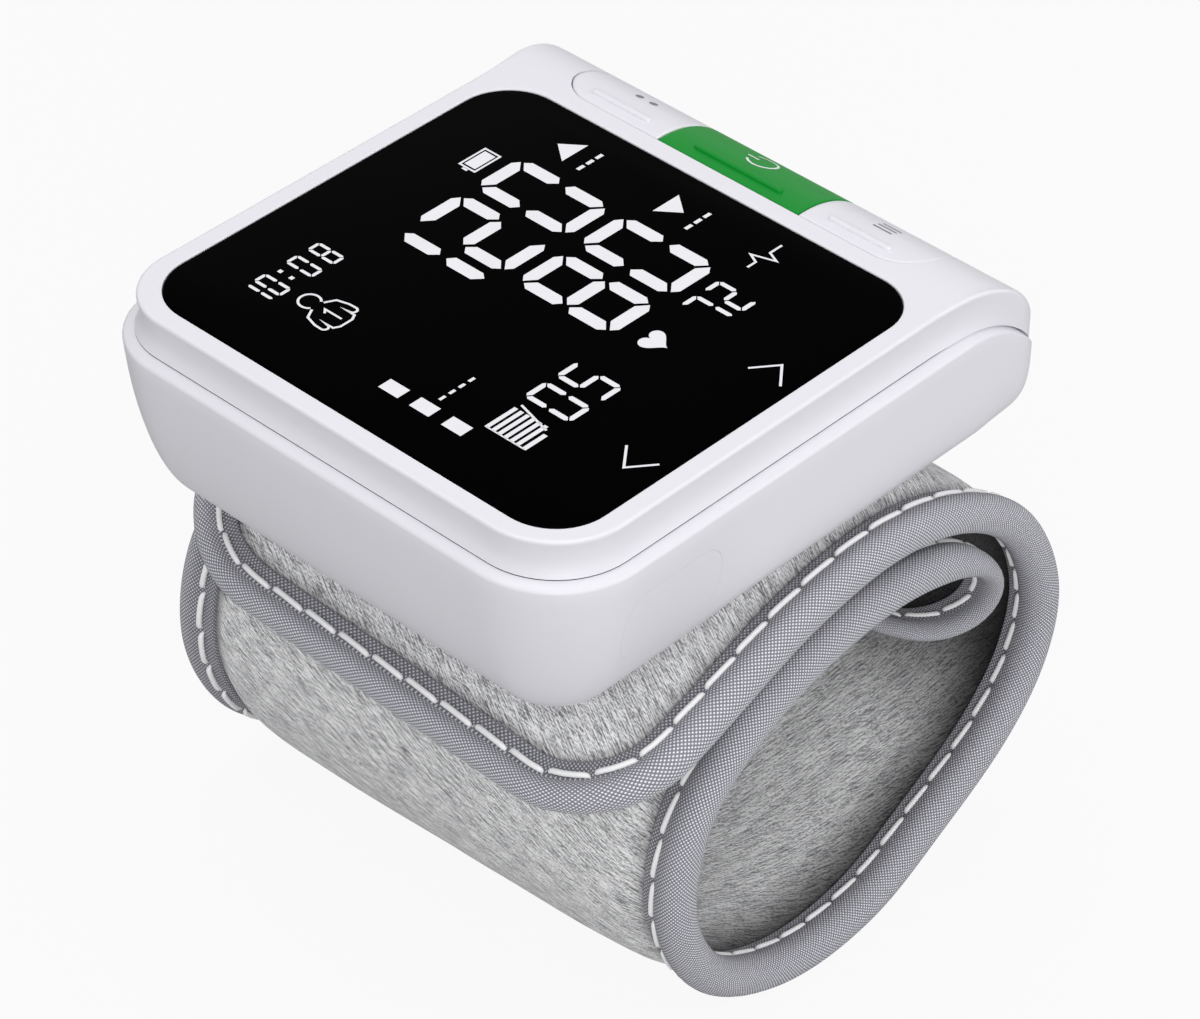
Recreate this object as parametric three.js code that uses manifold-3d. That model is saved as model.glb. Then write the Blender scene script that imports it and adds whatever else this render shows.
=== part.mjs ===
// Wrist blood pressure monitor: a housing with a display and three shoulder
// buttons, carried by a padded cuff that is coiled as when it is put away.
// Millimetres, +Z up. It stands on the bottom of the cuff, with the origin
// under the middle of its box. X runs to the button side, Y to the display's top.
import * as THREE from 'three';
import Module from 'manifold-3d';
import { mergeVertices } from 'three/addons/utils/BufferGeometryUtils.js';

const wasm = await Module();
wasm.setup();

// General
const clearance = 0.3;
const overrun = 2;
const cornerSteps = 7;
const mergeDistance = 1e-4;

// Display window and the cover around it
const windowWidth = 58.8;
const windowHeight = 64.6;
const windowRadius = 7.5;
const windowThickness = 1.2;
const border = 2.6;
const coverWallHeight = 5.2;
const wall = 1.8;
const ledgeWidth = 4;
const ledgeThickness = 0.8;
const coverCornerRadius = 10;
const coverEndRadius = 6;
const shoulderRadius = 13.8;
const shoulderSetback = 0.7;
const seamDropAtEnd = 14.6;
const seamBend = 6.3;

// Lower housing
const rimStep = 1.8;
const rimChamfer = 0.6;
const endStep = 0.2;
const shallowDepth = 21.8;
const deepStep = 4.7;
const deepEndX = -14;
const shallowStartX = 2;
const footRadius = 7;
const shallowFootRadius = 4.2;
const rimLedgeThickness = 1.4;

// Buttons
const buttonRowLength = 52;
const buttonRowWidth = 12;
const buttonEndRadius = 5;
const startButtonLength = 21.7;
const buttonTravel = 0.5;
const buttonFlange = 1;
const ribWidth = 0.9;
const ribHeight = 0.4;
const ribSetback = 2.2;
const sideRibLength = 9.2;
const startRibLength = 13.4;

// Port cover and charging socket
const portCentreX = -15.3;
const portWidth = 15;
const portHeight = 10;
const portTop = 9.6;
const portRadius = 3.5;
const socketWidth = 9;
const socketHeight = 3.2;
const socketDepth = 7.3;
const chargeBoardWidth = 10;
const chargeBoardDepth = 9;

// Boards, pump and other inner pieces
const displayModuleWidth = 50;
const displayModuleHeight = 49.4;
const displayModuleThickness = 3;
const boardWidth = 58;
const boardHeight = 49.4;
const boardThickness = 1.2;
const buttonBoardWidth = 8;
const buttonBoardDepth = 12.6;
const switchSize = 4.5;
const switchHeight = 3.4;
const plungerRadius = 1.6;
const motorRadiusShare = 0.44;
const motorLength = 19;
const pumpX = 19.5;
const pumpStartY = -28;
const pumpHeadShare = 0.9;
const pumpHeadLength = 9;
const valveShare = 0.65;
const valveLength = 12;
const valveY = 20;
const tubeRadius = 1.9;
const sensorSize = 7;
const sensorHeight = 3.4;
const sensorX = -12;
const sensorY = 18;
const buzzerRadius = 5;
const buzzerHeight = 2.5;
const buzzerX = -12;
const buzzerY = -8;
const batteryWidth = 22;
const batteryLength = 40;
const batteryRoom = 1.9;
const batteryX = -14;
const cradleWidth = 9;
const cradleSpacing = 24;
const nippleRadius = 2.2;
const nippleY = 8;

// Screws
const screwRadius = 1.1;
const screwHeadRadius = 2.2;
const screwHeadHeight = 1.6;
const screwSink = 2.8;
const screwLength = 9;
const bossRadius = 2.6;
const screwInsetX = 10.2;
const screwInsetY = 9.1;
const endScrewInsetX = 9.5;
const saddleScrewX = 5;
const saddleScrewLength = 4.2;

// Cuff
const fabricThickness = 1;
const curlerThickness = 0.7;
const bladderThickness = 0.8;
const strapWidth = 78.4;
const strapCornerRadius = 20;
const loopWidth = 62.8;
const loopHeight = 55.9;
const loopCentreX = 16.5;
const curlerMargin = 4;
const bladderMargin = 7;
const standFlat = 0.5;
const hingeGap = 0.3;
const bindingSides = 10;
const stationLength = 3.4;
const stationTurn = 0.3;
const stationStepShare = 0.08;
const saddleThickness = 1.1;
const saddleLength = 30;
const saddleWidth = 54;
const hookPadThickness = 0.6;
const hookPadLength = 22;
const hookPadMargin = 9;

// Centre line of the coiled cuff, from the free end under the housing, over the
// top layer and round the loop to the inner curl, as shares of the loop's box
const loopPathShares = [
  [-0.191, 0.759], [0.048, 0.855], [0.318, 0.968], [0.541, 1.0], [0.748, 0.945],
  [0.917, 0.791], [1.0, 0.558], [0.984, 0.386], [0.908, 0.24], [0.736, 0.098],
  [0.533, 0.012], [0.311, 0.012], [0.102, 0.145], [0.0, 0.392], [0.038, 0.633],
  [0.175, 0.771], [0.374, 0.853], [0.589, 0.868], [0.78, 0.794], [0.85, 0.69],
  [0.8, 0.61], [0.7, 0.63],
];

// How far the lower wall has drawn in at each share of its depth, at the deep
// end and at the shallow end
const bowlShares = [
  [0, 0.0, 0.0], [0.2, 0.05, 0.0], [0.42, 0.15, 0.01], [0.62, 0.3, 0.03],
  [0.78, 0.48, 0.12], [0.9, 0.7, 0.35], [0.97, 0.87, 0.65], [1, 1, 1],
];

// Sizes that follow from the ones above
const windowHalfX = windowWidth / 2;
const windowHalfY = windowHeight / 2;
const coverLeft = windowHalfX + border;
const coverHalfY = windowHalfY + border;
const shoulderX = coverLeft + shoulderSetback;
const coverRight = shoulderX + shoulderRadius;
const housingLeft = coverLeft + rimStep;
const housingHalfY = coverHalfY + rimStep;
const housingRight = coverRight + endStep;
const rimTop = coverWallHeight + clearance;
const deepDepth = shallowDepth + deepStep;
const strapThickness = 2 * fabricThickness + curlerThickness + bladderThickness + 3 * clearance;
const bindingRadius = strapThickness / 2;
const strapHalf = strapThickness / 2;
const saddleTop = shallowDepth + clearance;
const loopTop = saddleTop + saddleThickness + clearance + strapHalf;
const standDepth = loopTop + loopHeight + strapHalf - standFlat;
const bindingY = strapWidth / 2 - bindingRadius;
const fabricHalfY = bindingY - bindingRadius - clearance;
const strapRight = loopCentreX + loopWidth / 2 + strapHalf;

const monitor = new THREE.Group();
monitor.position.set(0, 0, standDepth);

// Materials
function material(color, roughness, metalness) {
  return new THREE.MeshStandardMaterial({ color, roughness, metalness });
}
const whitePlastic = material(0xe4e2ea, 0.42, 0);
const greenPlastic = material(0x1c9a3c, 0.4, 0);
const blackGlass = material(0x050506, 0.12, 0);
const greyFabric = material(0xb4b5b7, 0.92, 0);
const bindingFabric = material(0x86878f, 0.85, 0);
const curlerPlastic = material(0xc9ccd0, 0.5, 0);
const bladderFilm = material(0x9aa3ad, 0.5, 0);
const boardGreen = material(0x1f5b3a, 0.55, 0);
const steel = material(0xb8babd, 0.35, 1);
const blackPlastic = material(0x1b1c1f, 0.5, 0);
const silicone = material(0xd9d8de, 0.6, 0);
const batteryFilm = material(0x6f8fa8, 0.45, 0);

function addPiece(name, geometry, finish) {
  const mesh = new THREE.Mesh(geometry, finish);
  mesh.name = name;
  monitor.add(mesh);
  return mesh;
}

// Solids for joining and cutting
function solid(geometry) {
  const bare = geometry.clone();
  bare.deleteAttribute('normal');
  bare.deleteAttribute('uv');
  const merged = mergeVertices(bare, mergeDistance);
  const corners = merged.index.array;
  const kept = [];
  for (let i = 0; i < corners.length; i += 3) {
    const [a, b, c] = [corners[i], corners[i + 1], corners[i + 2]];
    if (a !== b && b !== c && c !== a) kept.push(a, b, c);
  }
  const mesh = new wasm.Mesh({
    numProp: 3,
    vertProperties: new Float32Array(merged.attributes.position.array),
    triVerts: new Uint32Array(kept),
  });
  return new wasm.Manifold(mesh);
}

function shapeOf(body) {
  const mesh = body.getMesh();
  const geometry = new THREE.BufferGeometry();
  geometry.setAttribute('position', new THREE.BufferAttribute(mesh.vertProperties, 3));
  geometry.setIndex(new THREE.BufferAttribute(mesh.triVerts, 1));
  geometry.computeVertexNormals();
  return geometry;
}

// A closed surface from its own points and triangles, turned to face out
function closedSurface(points, triangles) {
  let volume = 0;
  for (const [a, b, c] of triangles) {
    const cross = new THREE.Vector3().crossVectors(points[b], points[c]);
    volume += points[a].dot(cross);
  }
  const order = volume < 0 ? triangles.map(([a, b, c]) => [a, c, b]) : triangles;
  const geometry = new THREE.BufferGeometry();
  geometry.setFromPoints(points);
  geometry.setIndex(order.flat());
  geometry.computeVertexNormals();
  return geometry;
}

function boxBetween(x0, x1, y0, y1, z0, z1) {
  const box = new THREE.BoxGeometry(x1 - x0, y1 - y0, z1 - z0);
  return box.translate((x0 + x1) / 2, (y0 + y1) / 2, (z0 + z1) / 2);
}

// A rounded rectangle from x0 to x1 and -halfY to halfY
function roundedOutline(x0, x1, halfY, startRadius, endRadius = startRadius) {
  const outline = new THREE.Shape();
  outline.absarc(x1 - endRadius, halfY - endRadius, endRadius, 0, Math.PI / 2);
  outline.absarc(x0 + startRadius, halfY - startRadius, startRadius, Math.PI / 2, Math.PI);
  outline.absarc(x0 + startRadius, startRadius - halfY, startRadius, Math.PI, 1.5 * Math.PI);
  outline.absarc(x1 - endRadius, endRadius - halfY, endRadius, 1.5 * Math.PI, 2 * Math.PI);
  return outline;
}

function uprightPrism(outline, bottom, top) {
  const options = { depth: top - bottom, bevelEnabled: false, curveSegments: cornerSteps };
  return new THREE.ExtrudeGeometry(outline, options).translate(0, 0, bottom);
}

// A side outline in X and Z, swept from -halfY to halfY
function sidePrism(outline, halfY) {
  const options = { depth: 2 * halfY, bevelEnabled: false, curveSegments: 2 * cornerSteps };
  const prism = new THREE.ExtrudeGeometry(outline, options);
  return prism.rotateX(Math.PI / 2).translate(0, halfY, 0);
}

function rod(radius, length, along) {
  const cylinder = new THREE.CylinderGeometry(radius, radius, length, 2 * cornerSteps);
  return along === 'z' ? cylinder.rotateX(Math.PI / 2) : cylinder;
}

// Side outline of the space under the cover's top and round shoulder, down to a
// flat floor. A positive inset gives the inside of a wall.
function underShoulder(inset, floor) {
  const outline = new THREE.Shape();
  outline.moveTo(-coverLeft + inset, -inset);
  outline.lineTo(shoulderX, -inset);
  outline.absarc(shoulderX, -shoulderRadius, shoulderRadius - inset, Math.PI / 2, 0, true);
  outline.lineTo(coverRight - inset, floor);
  outline.lineTo(-coverLeft + inset, floor);
  outline.closePath();
  return outline;
}

// Side outline of everything below the parting seam, which falls away towards
// the button end
function belowSeam(gap) {
  const left = -housingLeft - overrun;
  const right = housingRight + overrun;
  const outline = new THREE.Shape();
  outline.moveTo(left, -coverWallHeight - gap);
  outline.lineTo(shoulderX, -coverWallHeight - gap);
  outline.quadraticCurveTo(
    coverRight - seamBend, -coverWallHeight - gap, coverRight, -seamDropAtEnd - gap,
  );
  outline.lineTo(right, -seamDropAtEnd - gap);
  outline.lineTo(right, -deepDepth - overrun);
  outline.lineTo(left, -deepDepth - overrun);
  outline.closePath();
  return solid(sidePrism(outline, housingHalfY + overrun));
}

function shoulderSolid(inset) {
  const side = solid(sidePrism(underShoulder(inset, -deepDepth), coverHalfY + overrun));
  const plan = roundedOutline(
    -coverLeft + inset, coverRight - inset, coverHalfY - inset,
    coverCornerRadius - inset, coverEndRadius - inset,
  );
  return side.intersect(solid(uprightPrism(plan, -deepDepth - overrun, overrun)));
}

// Lower housing as a bowl: rings of a rounded outline that draw in with depth,
// deep at the battery side and shallow under the buttons
function depthAt(x) {
  const way = THREE.MathUtils.smoothstep(x, deepEndX, shallowStartX);
  return THREE.MathUtils.lerp(deepDepth, shallowDepth, way);
}

function bowlSolid(inset, top, rimInset) {
  const endRadius = coverEndRadius + endStep;
  const cornerRadius = coverCornerRadius + rimStep;
  const half = [];
  for (let i = 0; i <= cornerSteps; i += 1) {
    const turn = (Math.PI / 2) * (i / cornerSteps);
    half.push([-housingLeft + cornerRadius, cornerRadius, Math.PI - turn, 0]);
  }
  for (let i = 1; i <= cornerSteps; i += 1) {
    const x = THREE.MathUtils.lerp(deepEndX, shallowStartX, i / cornerSteps);
    half.push([x, cornerRadius, Math.PI / 2, i / cornerSteps]);
  }
  for (let i = 0; i <= cornerSteps; i += 1) {
    const turn = (Math.PI / 2) * (1 - i / cornerSteps);
    half.push([housingRight - endRadius, endRadius, turn, 1]);
  }
  const levels = [[0, rimInset, rimInset]];
  for (const [share, deep, shallow] of bowlShares) {
    levels.push([share, deep * footRadius, shallow * shallowFootRadius]);
  }
  const points = [];
  levels.forEach(([share, deepDrawn, shallowDrawn], level) => {
    for (const [centreX, radius, turn, way] of half) {
      const drawn = THREE.MathUtils.lerp(deepDrawn, shallowDrawn, way);
      const reach = radius - inset - drawn;
      const x = centreX + reach * Math.cos(turn);
      const y = housingHalfY - radius + reach * Math.sin(turn);
      const rim = level === 0 ? top : Math.min(top, -rimTop - rimChamfer);
      const z = THREE.MathUtils.lerp(rim, -depthAt(x) + inset, share);
      points.push(new THREE.Vector3(x, y, z), new THREE.Vector3(x, -y, z));
    }
  });
  const ring = 2 * half.length;
  const triangles = [];
  const quad = (a, b, c, d) => triangles.push([a, b, c], [a, c, d]);
  for (let level = 0; level < levels.length - 1; level += 1) {
    for (let i = 0; i < half.length - 1; i += 1) {
      const upper = level * ring + 2 * i;
      const lower = upper + ring;
      quad(upper, upper + 2, lower + 2, lower);
      quad(upper + 1, lower + 1, lower + 3, upper + 3);
    }
    const first = level * ring;
    const last = first + ring - 2;
    quad(first, first + ring, first + ring + 1, first + 1);
    quad(last, last + 1, last + ring + 1, last + ring);
  }
  const base = (levels.length - 1) * ring;
  for (let i = 0; i < half.length - 1; i += 1) {
    quad(2 * i, 2 * i + 1, 2 * i + 3, 2 * i + 2);
    quad(base + 2 * i, base + 2 * i + 2, base + 2 * i + 3, base + 2 * i + 1);
  }
  return solid(closedSurface(points, triangles));
}

// Screw places: four for the housing, those at the button end clear of the
// buttons, and two for the saddle
const endScrewY = buttonRowLength / 2 + buttonFlange + bossRadius;
const screwPlaces = [
  [screwInsetX - housingLeft, housingHalfY - screwInsetY],
  [screwInsetX - housingLeft, screwInsetY - housingHalfY],
  [housingRight - endScrewInsetX, endScrewY],
  [housingRight - endScrewInsetX, -endScrewY],
];
const saddleX = loopCentreX;
const saddleScrewY = saddleWidth / 2 - screwInsetX;
const saddleScrewPlaces = [[saddleScrewX, saddleScrewY], [saddleScrewX, -saddleScrewY]];

function screwFloor(x) {
  return -depthAt(x) + screwSink;
}

// Top cover
const buttonRowX0 = coverLeft;
const buttonRowX1 = buttonRowX0 + buttonRowWidth;
const windowBottom = windowThickness + clearance;

function buttonSlot(margin) {
  const outline = roundedOutline(
    buttonRowX0 - margin, buttonRowX1 + margin, buttonRowLength / 2 + margin, buttonEndRadius + margin,
  );
  return solid(uprightPrism(outline, -seamDropAtEnd, overrun));
}

function windowPrism(margin, bottom) {
  const outline = roundedOutline(
    -windowHalfX - margin, windowHalfX + margin, windowHalfY + margin, windowRadius + margin,
  );
  return solid(uprightPrism(outline, bottom, overrun));
}

function makeTopCover() {
  const inside = shoulderSolid(wall);
  const thickTop = solid(boxBetween(
    -coverLeft, coverLeft - 2 * buttonFlange, -coverHalfY, coverHalfY,
    -windowBottom - ledgeThickness, overrun,
  ));
  let cover = shoulderSolid(0).subtract(belowSeam(0)).subtract(inside.subtract(thickTop));
  cover = cover.subtract(windowPrism(0, -windowBottom));
  cover = cover.subtract(windowPrism(-ledgeWidth, -coverWallHeight));
  cover = cover.subtract(buttonSlot(0));
  for (const [x, y] of screwPlaces) {
    const top = x < 0 ? -windowBottom : -wall - clearance;
    const bottom = screwFloor(x) + wall + clearance;
    const post = rod(bossRadius, top - bottom, 'z').translate(x, y, (top + bottom) / 2);
    const bore = rod(screwRadius + clearance, top - bottom, 'z');
    const boreShift = -bossRadius;
    bore.translate(x, y, (top + bottom) / 2 + boreShift);
    const clearOfBowl = bowlSolid(wall + clearance, overrun, 0);
    const inPlace = solid(post).intersect(shoulderSolid(wall / 2)).intersect(clearOfBowl);
    cover = cover.add(inPlace).subtract(solid(bore));
  }
  return cover;
}
addPiece('top_cover', shapeOf(makeTopCover()), whitePlastic);

const windowSolid = windowPrism(-clearance, -windowThickness)
  .intersect(solid(boxBetween(-coverLeft, coverLeft, -coverHalfY, coverHalfY, -windowBottom, 0)));
addPiece('display_window', shapeOf(windowSolid), blackGlass);

// Buttons: caps cut from the shoulder, with a hidden flange and a plunger
const buttonSpans = {
  memory_button: [-buttonRowLength / 2, -startButtonLength / 2, sideRibLength, whitePlastic],
  start_button: [-startButtonLength / 2, startButtonLength / 2, startRibLength, greenPlastic],
  user_button: [startButtonLength / 2, buttonRowLength / 2, sideRibLength, whitePlastic],
};
const switchX = buttonRowX0 + buttonRowWidth / 2;
const boardLevel = -buttonBoardDepth;
const switchTop = boardLevel + clearance + switchHeight;
const plungerBottom = switchTop + buttonTravel + clearance;

function makeButton(y0, y1, ribLength) {
  const span = (from, to) => solid(boxBetween(
    buttonRowX0 - overrun, buttonRowX1 + overrun, from, to, -seamDropAtEnd, overrun,
  ));
  const y0Inner = y0 + clearance / 2;
  const y1Inner = y1 - clearance / 2;
  const skin = shoulderSolid(0).subtract(shoulderSolid(wall + clearance));
  const cap = skin.intersect(buttonSlot(-clearance)).intersect(span(y0Inner, y1Inner));
  const lip = shoulderSolid(wall + clearance)
    .subtract(shoulderSolid(wall + clearance + buttonFlange))
    .intersect(buttonSlot(buttonFlange - clearance))
    .intersect(solid(boxBetween(
      buttonRowX0 - overrun, buttonRowX1 - buttonFlange - clearance,
      y0 === -buttonRowLength / 2 ? y0 - overrun : y0Inner,
      y1 === buttonRowLength / 2 ? y1 + overrun : y1Inner,
      -seamDropAtEnd, overrun,
    )));
  const middle = (y0 + y1) / 2;
  const ribX = buttonRowX0 + ribSetback;
  const rib = solid(boxBetween(
    ribX - ribWidth / 2, ribX + ribWidth / 2, middle - ribLength / 2, middle + ribLength / 2,
    -wall, ribHeight,
  ));
  const plunger = solid(rod(plungerRadius, -plungerBottom, 'z')
    .translate(switchX, middle, plungerBottom / 2))
    .intersect(shoulderSolid(wall / 2));
  return cap.add(lip).add(rib).add(plunger);
}
for (const [name, [y0, y1, ribLength, finish]] of Object.entries(buttonSpans)) {
  addPiece(name, shapeOf(makeButton(y0, y1, ribLength)), finish);
  const middle = (y0 + y1) / 2;
  const half = switchSize / 2;
  addPiece(name.replace('button', 'switch'), boxBetween(
    switchX - half, switchX + half, middle - half, middle + half, boardLevel + clearance, switchTop,
  ), blackPlastic);
}
addPiece('button_board', boxBetween(
  switchX - buttonBoardWidth / 2, switchX + buttonBoardWidth / 2,
  -buttonRowLength / 2 + buttonEndRadius, buttonRowLength / 2 - buttonEndRadius,
  boardLevel - boardThickness, boardLevel,
), boardGreen);

// Lower housing, with the port cover cut from its front wall
const portInsideY = wall - housingHalfY + footRadius * bowlShares[3][1];
const housingOuter = bowlSolid(0, -rimTop, rimStep).intersect(belowSeam(clearance));
const housingInner = bowlSolid(wall, overrun, rimStep);

function portPrism(margin) {
  const outline = roundedOutline(
    -portWidth / 2 - margin, portWidth / 2 + margin, portHeight / 2 + margin, portRadius + margin,
  );
  const prism = uprightPrism(outline, 0, housingHalfY);
  return solid(prism.rotateX(Math.PI / 2).translate(portCentreX, 0, -portTop - portHeight / 2));
}

const boardPosts = [
  [-boardWidth / 2 + bossRadius, boardHeight / 2 - bossRadius],
  [-boardWidth / 2 + bossRadius, bossRadius - boardHeight / 2],
  [boardWidth / 2 - bossRadius, boardHeight / 2 - bossRadius],
  [boardWidth / 2 - bossRadius, bossRadius - boardHeight / 2],
];
const moduleTop = -windowBottom - ledgeThickness - clearance;
const moduleBottom = moduleTop - displayModuleThickness;
const boardTop = moduleBottom - clearance;
const boardBottom = boardTop - boardThickness;
const socketZ = -portTop - portHeight / 2;
const socketFront = portInsideY + clearance;
const chargeBoardTop = socketZ - socketHeight / 2 - clearance;
const batteryBottom = -shallowDepth + wall + clearance;
const batteryEnd = housingHalfY - screwInsetY - bossRadius - clearance;
const batteryY = batteryEnd - batteryLength / 2;
const batteryTop = boardBottom - clearance - sensorHeight - batteryRoom;

function column(x, y, radius, bottom, top) {
  return solid(rod(radius, top - bottom, 'z').translate(x, y, (top + bottom) / 2));
}

function makeLowerHousing() {
  const ledge = solid(boxBetween(
    -housingLeft, shoulderX, -housingHalfY, housingHalfY, -rimTop - rimLedgeThickness, -rimTop,
  )).subtract(solid(uprightPrism(
    roundedOutline(-coverLeft + wall, housingRight, coverHalfY - wall, coverCornerRadius - wall),
    -rimTop - overrun, 0,
  )));
  let housing = housingOuter.subtract(housingInner).add(ledge.intersect(housingOuter));
  housing = housing.subtract(portPrism(0));
  for (const side of [-1, 1]) {
    const middle = batteryY + (side * cradleSpacing) / 2;
    const rib = solid(boxBetween(
      batteryX - batteryWidth / 2, batteryX - batteryWidth / 2 + cradleWidth,
      middle - wall / 2, middle + wall / 2, -deepDepth, batteryBottom - clearance,
    ));
    housing = housing.add(rib.intersect(housingOuter));
  }
  const floorAt = (x) => -depthAt(x) + wall / 2;
  for (const [x, y] of boardPosts) {
    const post = column(x, y, bossRadius / 2, floorAt(x), boardBottom - clearance);
    housing = housing.add(post.intersect(housingOuter));
  }
  for (const side of [-1, 1]) {
    const rib = boxBetween(
      portCentreX + side * (chargeBoardWidth - wall) / 2 - wall / 2,
      portCentreX + side * (chargeBoardWidth - wall) / 2 + wall / 2,
      socketFront + clearance, socketFront + chargeBoardDepth - clearance,
      -deepDepth + wall / 2, chargeBoardTop - boardThickness - clearance,
    );
    housing = housing.add(solid(rib).intersect(housingOuter));
    const shelf = boxBetween(
      switchX - wall / 2, switchX + wall / 2,
      side * buttonRowLength / 4 - wall, side * buttonRowLength / 4 + wall,
      -shallowDepth + wall / 2, boardLevel - boardThickness - clearance,
    );
    housing = housing.add(solid(shelf));
  }
  for (const [x, y] of screwPlaces) {
    const floor = screwFloor(x);
    const seat = column(x, y, bossRadius, floor - screwSink, floor + wall);
    const headWell = column(
      x, y, screwHeadRadius + clearance, floor - screwSink - overrun, floor,
    );
    const shaftHole = column(x, y, screwRadius + clearance, floor - overrun, floor + screwLength);
    housing = housing.add(seat.intersect(housingOuter)).subtract(headWell).subtract(shaftHole);
  }
  for (const [x, y] of saddleScrewPlaces) {
    const seat = column(x, y, bossRadius, -shallowDepth, -shallowDepth + 2 * wall);
    const hole = column(
      x, y, screwRadius + clearance, -shallowDepth - overrun, -shallowDepth + 2 * wall + overrun,
    );
    housing = housing.add(seat).subtract(hole);
  }
  const nippleHole = column(
    saddleX, nippleY, nippleRadius + clearance, -shallowDepth - overrun, -shallowDepth + 2 * wall,
  );
  return housing.subtract(nippleHole);
}
addPiece('lower_housing', shapeOf(makeLowerHousing()), whitePlastic);

const portCover = housingOuter.subtract(housingInner).intersect(portPrism(-clearance));
addPiece('port_cover', shapeOf(portCover), silicone);

// Screws
function makeScrew(length) {
  const head = rod(screwHeadRadius, screwHeadHeight, 'z').translate(0, 0, -screwHeadHeight / 2);
  const shaft = rod(screwRadius, length, 'z').translate(0, 0, length / 2 - screwHeadHeight / 2);
  return solid(head).add(solid(shaft));
}
screwPlaces.forEach(([x, y], index) => {
  const mesh = addPiece(`housing_screw_${index + 1}`, shapeOf(makeScrew(screwLength)), steel);
  mesh.position.set(x, y, screwFloor(x) - clearance);
});

// Boards and the pieces on them
addPiece('display_module', boxBetween(
  -displayModuleWidth / 2, displayModuleWidth / 2,
  -displayModuleHeight / 2, displayModuleHeight / 2, moduleBottom, moduleTop,
), blackPlastic);
addPiece('main_board', boxBetween(
  -boardWidth / 2, boardWidth / 2, -boardHeight / 2, boardHeight / 2, boardBottom, boardTop,
), boardGreen);
addPiece('charge_board', boxBetween(
  portCentreX - chargeBoardWidth / 2, portCentreX + chargeBoardWidth / 2,
  socketFront, socketFront + chargeBoardDepth, chargeBoardTop - boardThickness, chargeBoardTop,
), boardGreen);

function makeSocket() {
  const shell = solid(boxBetween(
    portCentreX - socketWidth / 2, portCentreX + socketWidth / 2,
    socketFront, socketFront + socketDepth, socketZ - socketHeight / 2, socketZ + socketHeight / 2,
  ));
  const lining = clearance;
  const mouth = solid(boxBetween(
    portCentreX - socketWidth / 2 + lining, portCentreX + socketWidth / 2 - lining,
    socketFront - overrun, socketFront + socketDepth - 2 * lining,
    socketZ - socketHeight / 2 + lining, socketZ + socketHeight / 2 - lining,
  ));
  const tongue = solid(boxBetween(
    portCentreX - socketWidth / 4, portCentreX + socketWidth / 4,
    socketFront + lining, socketFront + socketDepth, socketZ - lining, socketZ + lining,
  ));
  return shell.subtract(mouth).add(tongue);
}
addPiece('charging_socket', shapeOf(makeSocket()), steel);

addPiece('battery', uprightPrism(roundedOutline(
  -batteryWidth / 2, batteryWidth / 2, batteryLength / 2, batteryRoom,
), batteryBottom, batteryTop).translate(batteryX, batteryY, 0), batteryFilm);
addPiece('pressure_sensor', boxBetween(
  sensorX - sensorSize / 2, sensorX + sensorSize / 2, sensorY - sensorSize / 2,
  sensorY + sensorSize / 2, boardBottom - clearance - sensorHeight, boardBottom - clearance,
), blackPlastic);
addPiece('buzzer', rod(buzzerRadius, buzzerHeight, 'z').translate(
  buzzerX, buzzerY, boardBottom - clearance - buzzerHeight / 2,
), blackPlastic);

// Pump, valve and air tube in line along Y, resting on the floor
const pumpFloor = -shallowDepth + wall + clearance;
const pumpSpace = boardBottom - clearance - pumpFloor;
const motorRadius = motorRadiusShare * pumpSpace;
const pumpHeadSize = pumpHeadShare * pumpSpace;
const valveSize = valveShare * pumpSpace;
const headStartY = pumpStartY + motorLength + clearance;
const headEndY = headStartY + pumpHeadLength;
addPiece('pump_motor', rod(motorRadius, motorLength, 'y').translate(
  pumpX, pumpStartY + motorLength / 2, pumpFloor + motorRadius,
), steel);
addPiece('pump_head', boxBetween(
  pumpX - pumpHeadSize / 2, pumpX + pumpHeadSize / 2, headStartY, headEndY,
  pumpFloor, pumpFloor + pumpHeadSize,
), whitePlastic);
const valveStartY = valveY - valveLength / 2;
addPiece('release_valve', boxBetween(
  pumpX - valveSize / 2, pumpX + valveSize / 2, valveStartY, valveStartY + valveLength,
  pumpFloor, pumpFloor + valveSize,
), blackPlastic);
const tubeLength = valveStartY - headEndY - 2 * clearance;
const tubeY = headEndY + clearance + tubeLength / 2;
const tubeZ = pumpFloor + valveSize / 2;
const airTube = solid(rod(tubeRadius, tubeLength, 'y').translate(pumpX, tubeY, tubeZ))
  .add(solid(boxBetween(
    saddleX - nippleRadius, pumpX, nippleY - tubeRadius, nippleY + tubeRadius,
    tubeZ - tubeRadius, tubeZ + tubeRadius,
  )));
addPiece('air_tube', shapeOf(airTube), silicone);

// Cuff: stations along the coiled centre line, each with a place, the outward
// normal in X and Z, and its distance from the start
const loopX0 = loopCentreX - loopWidth / 2;
const loopZ0 = -loopTop - loopHeight;
const loopCurve = new THREE.CatmullRomCurve3(loopPathShares.map(
  ([x, z]) => new THREE.Vector3(loopX0 + x * loopWidth, 0, loopZ0 + z * loopHeight),
), false, 'centripetal');
loopCurve.arcLengthDivisions = 20 * loopPathShares.length;
const pathLength = loopCurve.getLength();

function stationAt(distance) {
  const share = THREE.MathUtils.clamp(distance / pathLength, 0, 1);
  const place = loopCurve.getPointAt(share);
  const tangent = loopCurve.getTangentAt(share);
  return { distance, place, normal: new THREE.Vector3(-tangent.z, 0, tangent.x) };
}

// The hinge line lies where the loop reaches furthest out
let hingeDistance = 0;
for (let i = 0; i <= 10 * loopPathShares.length; i += 1) {
  const distance = (pathLength * i) / (10 * loopPathShares.length);
  if (stationAt(distance).place.x > stationAt(hingeDistance).place.x) hingeDistance = distance;
}

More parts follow.
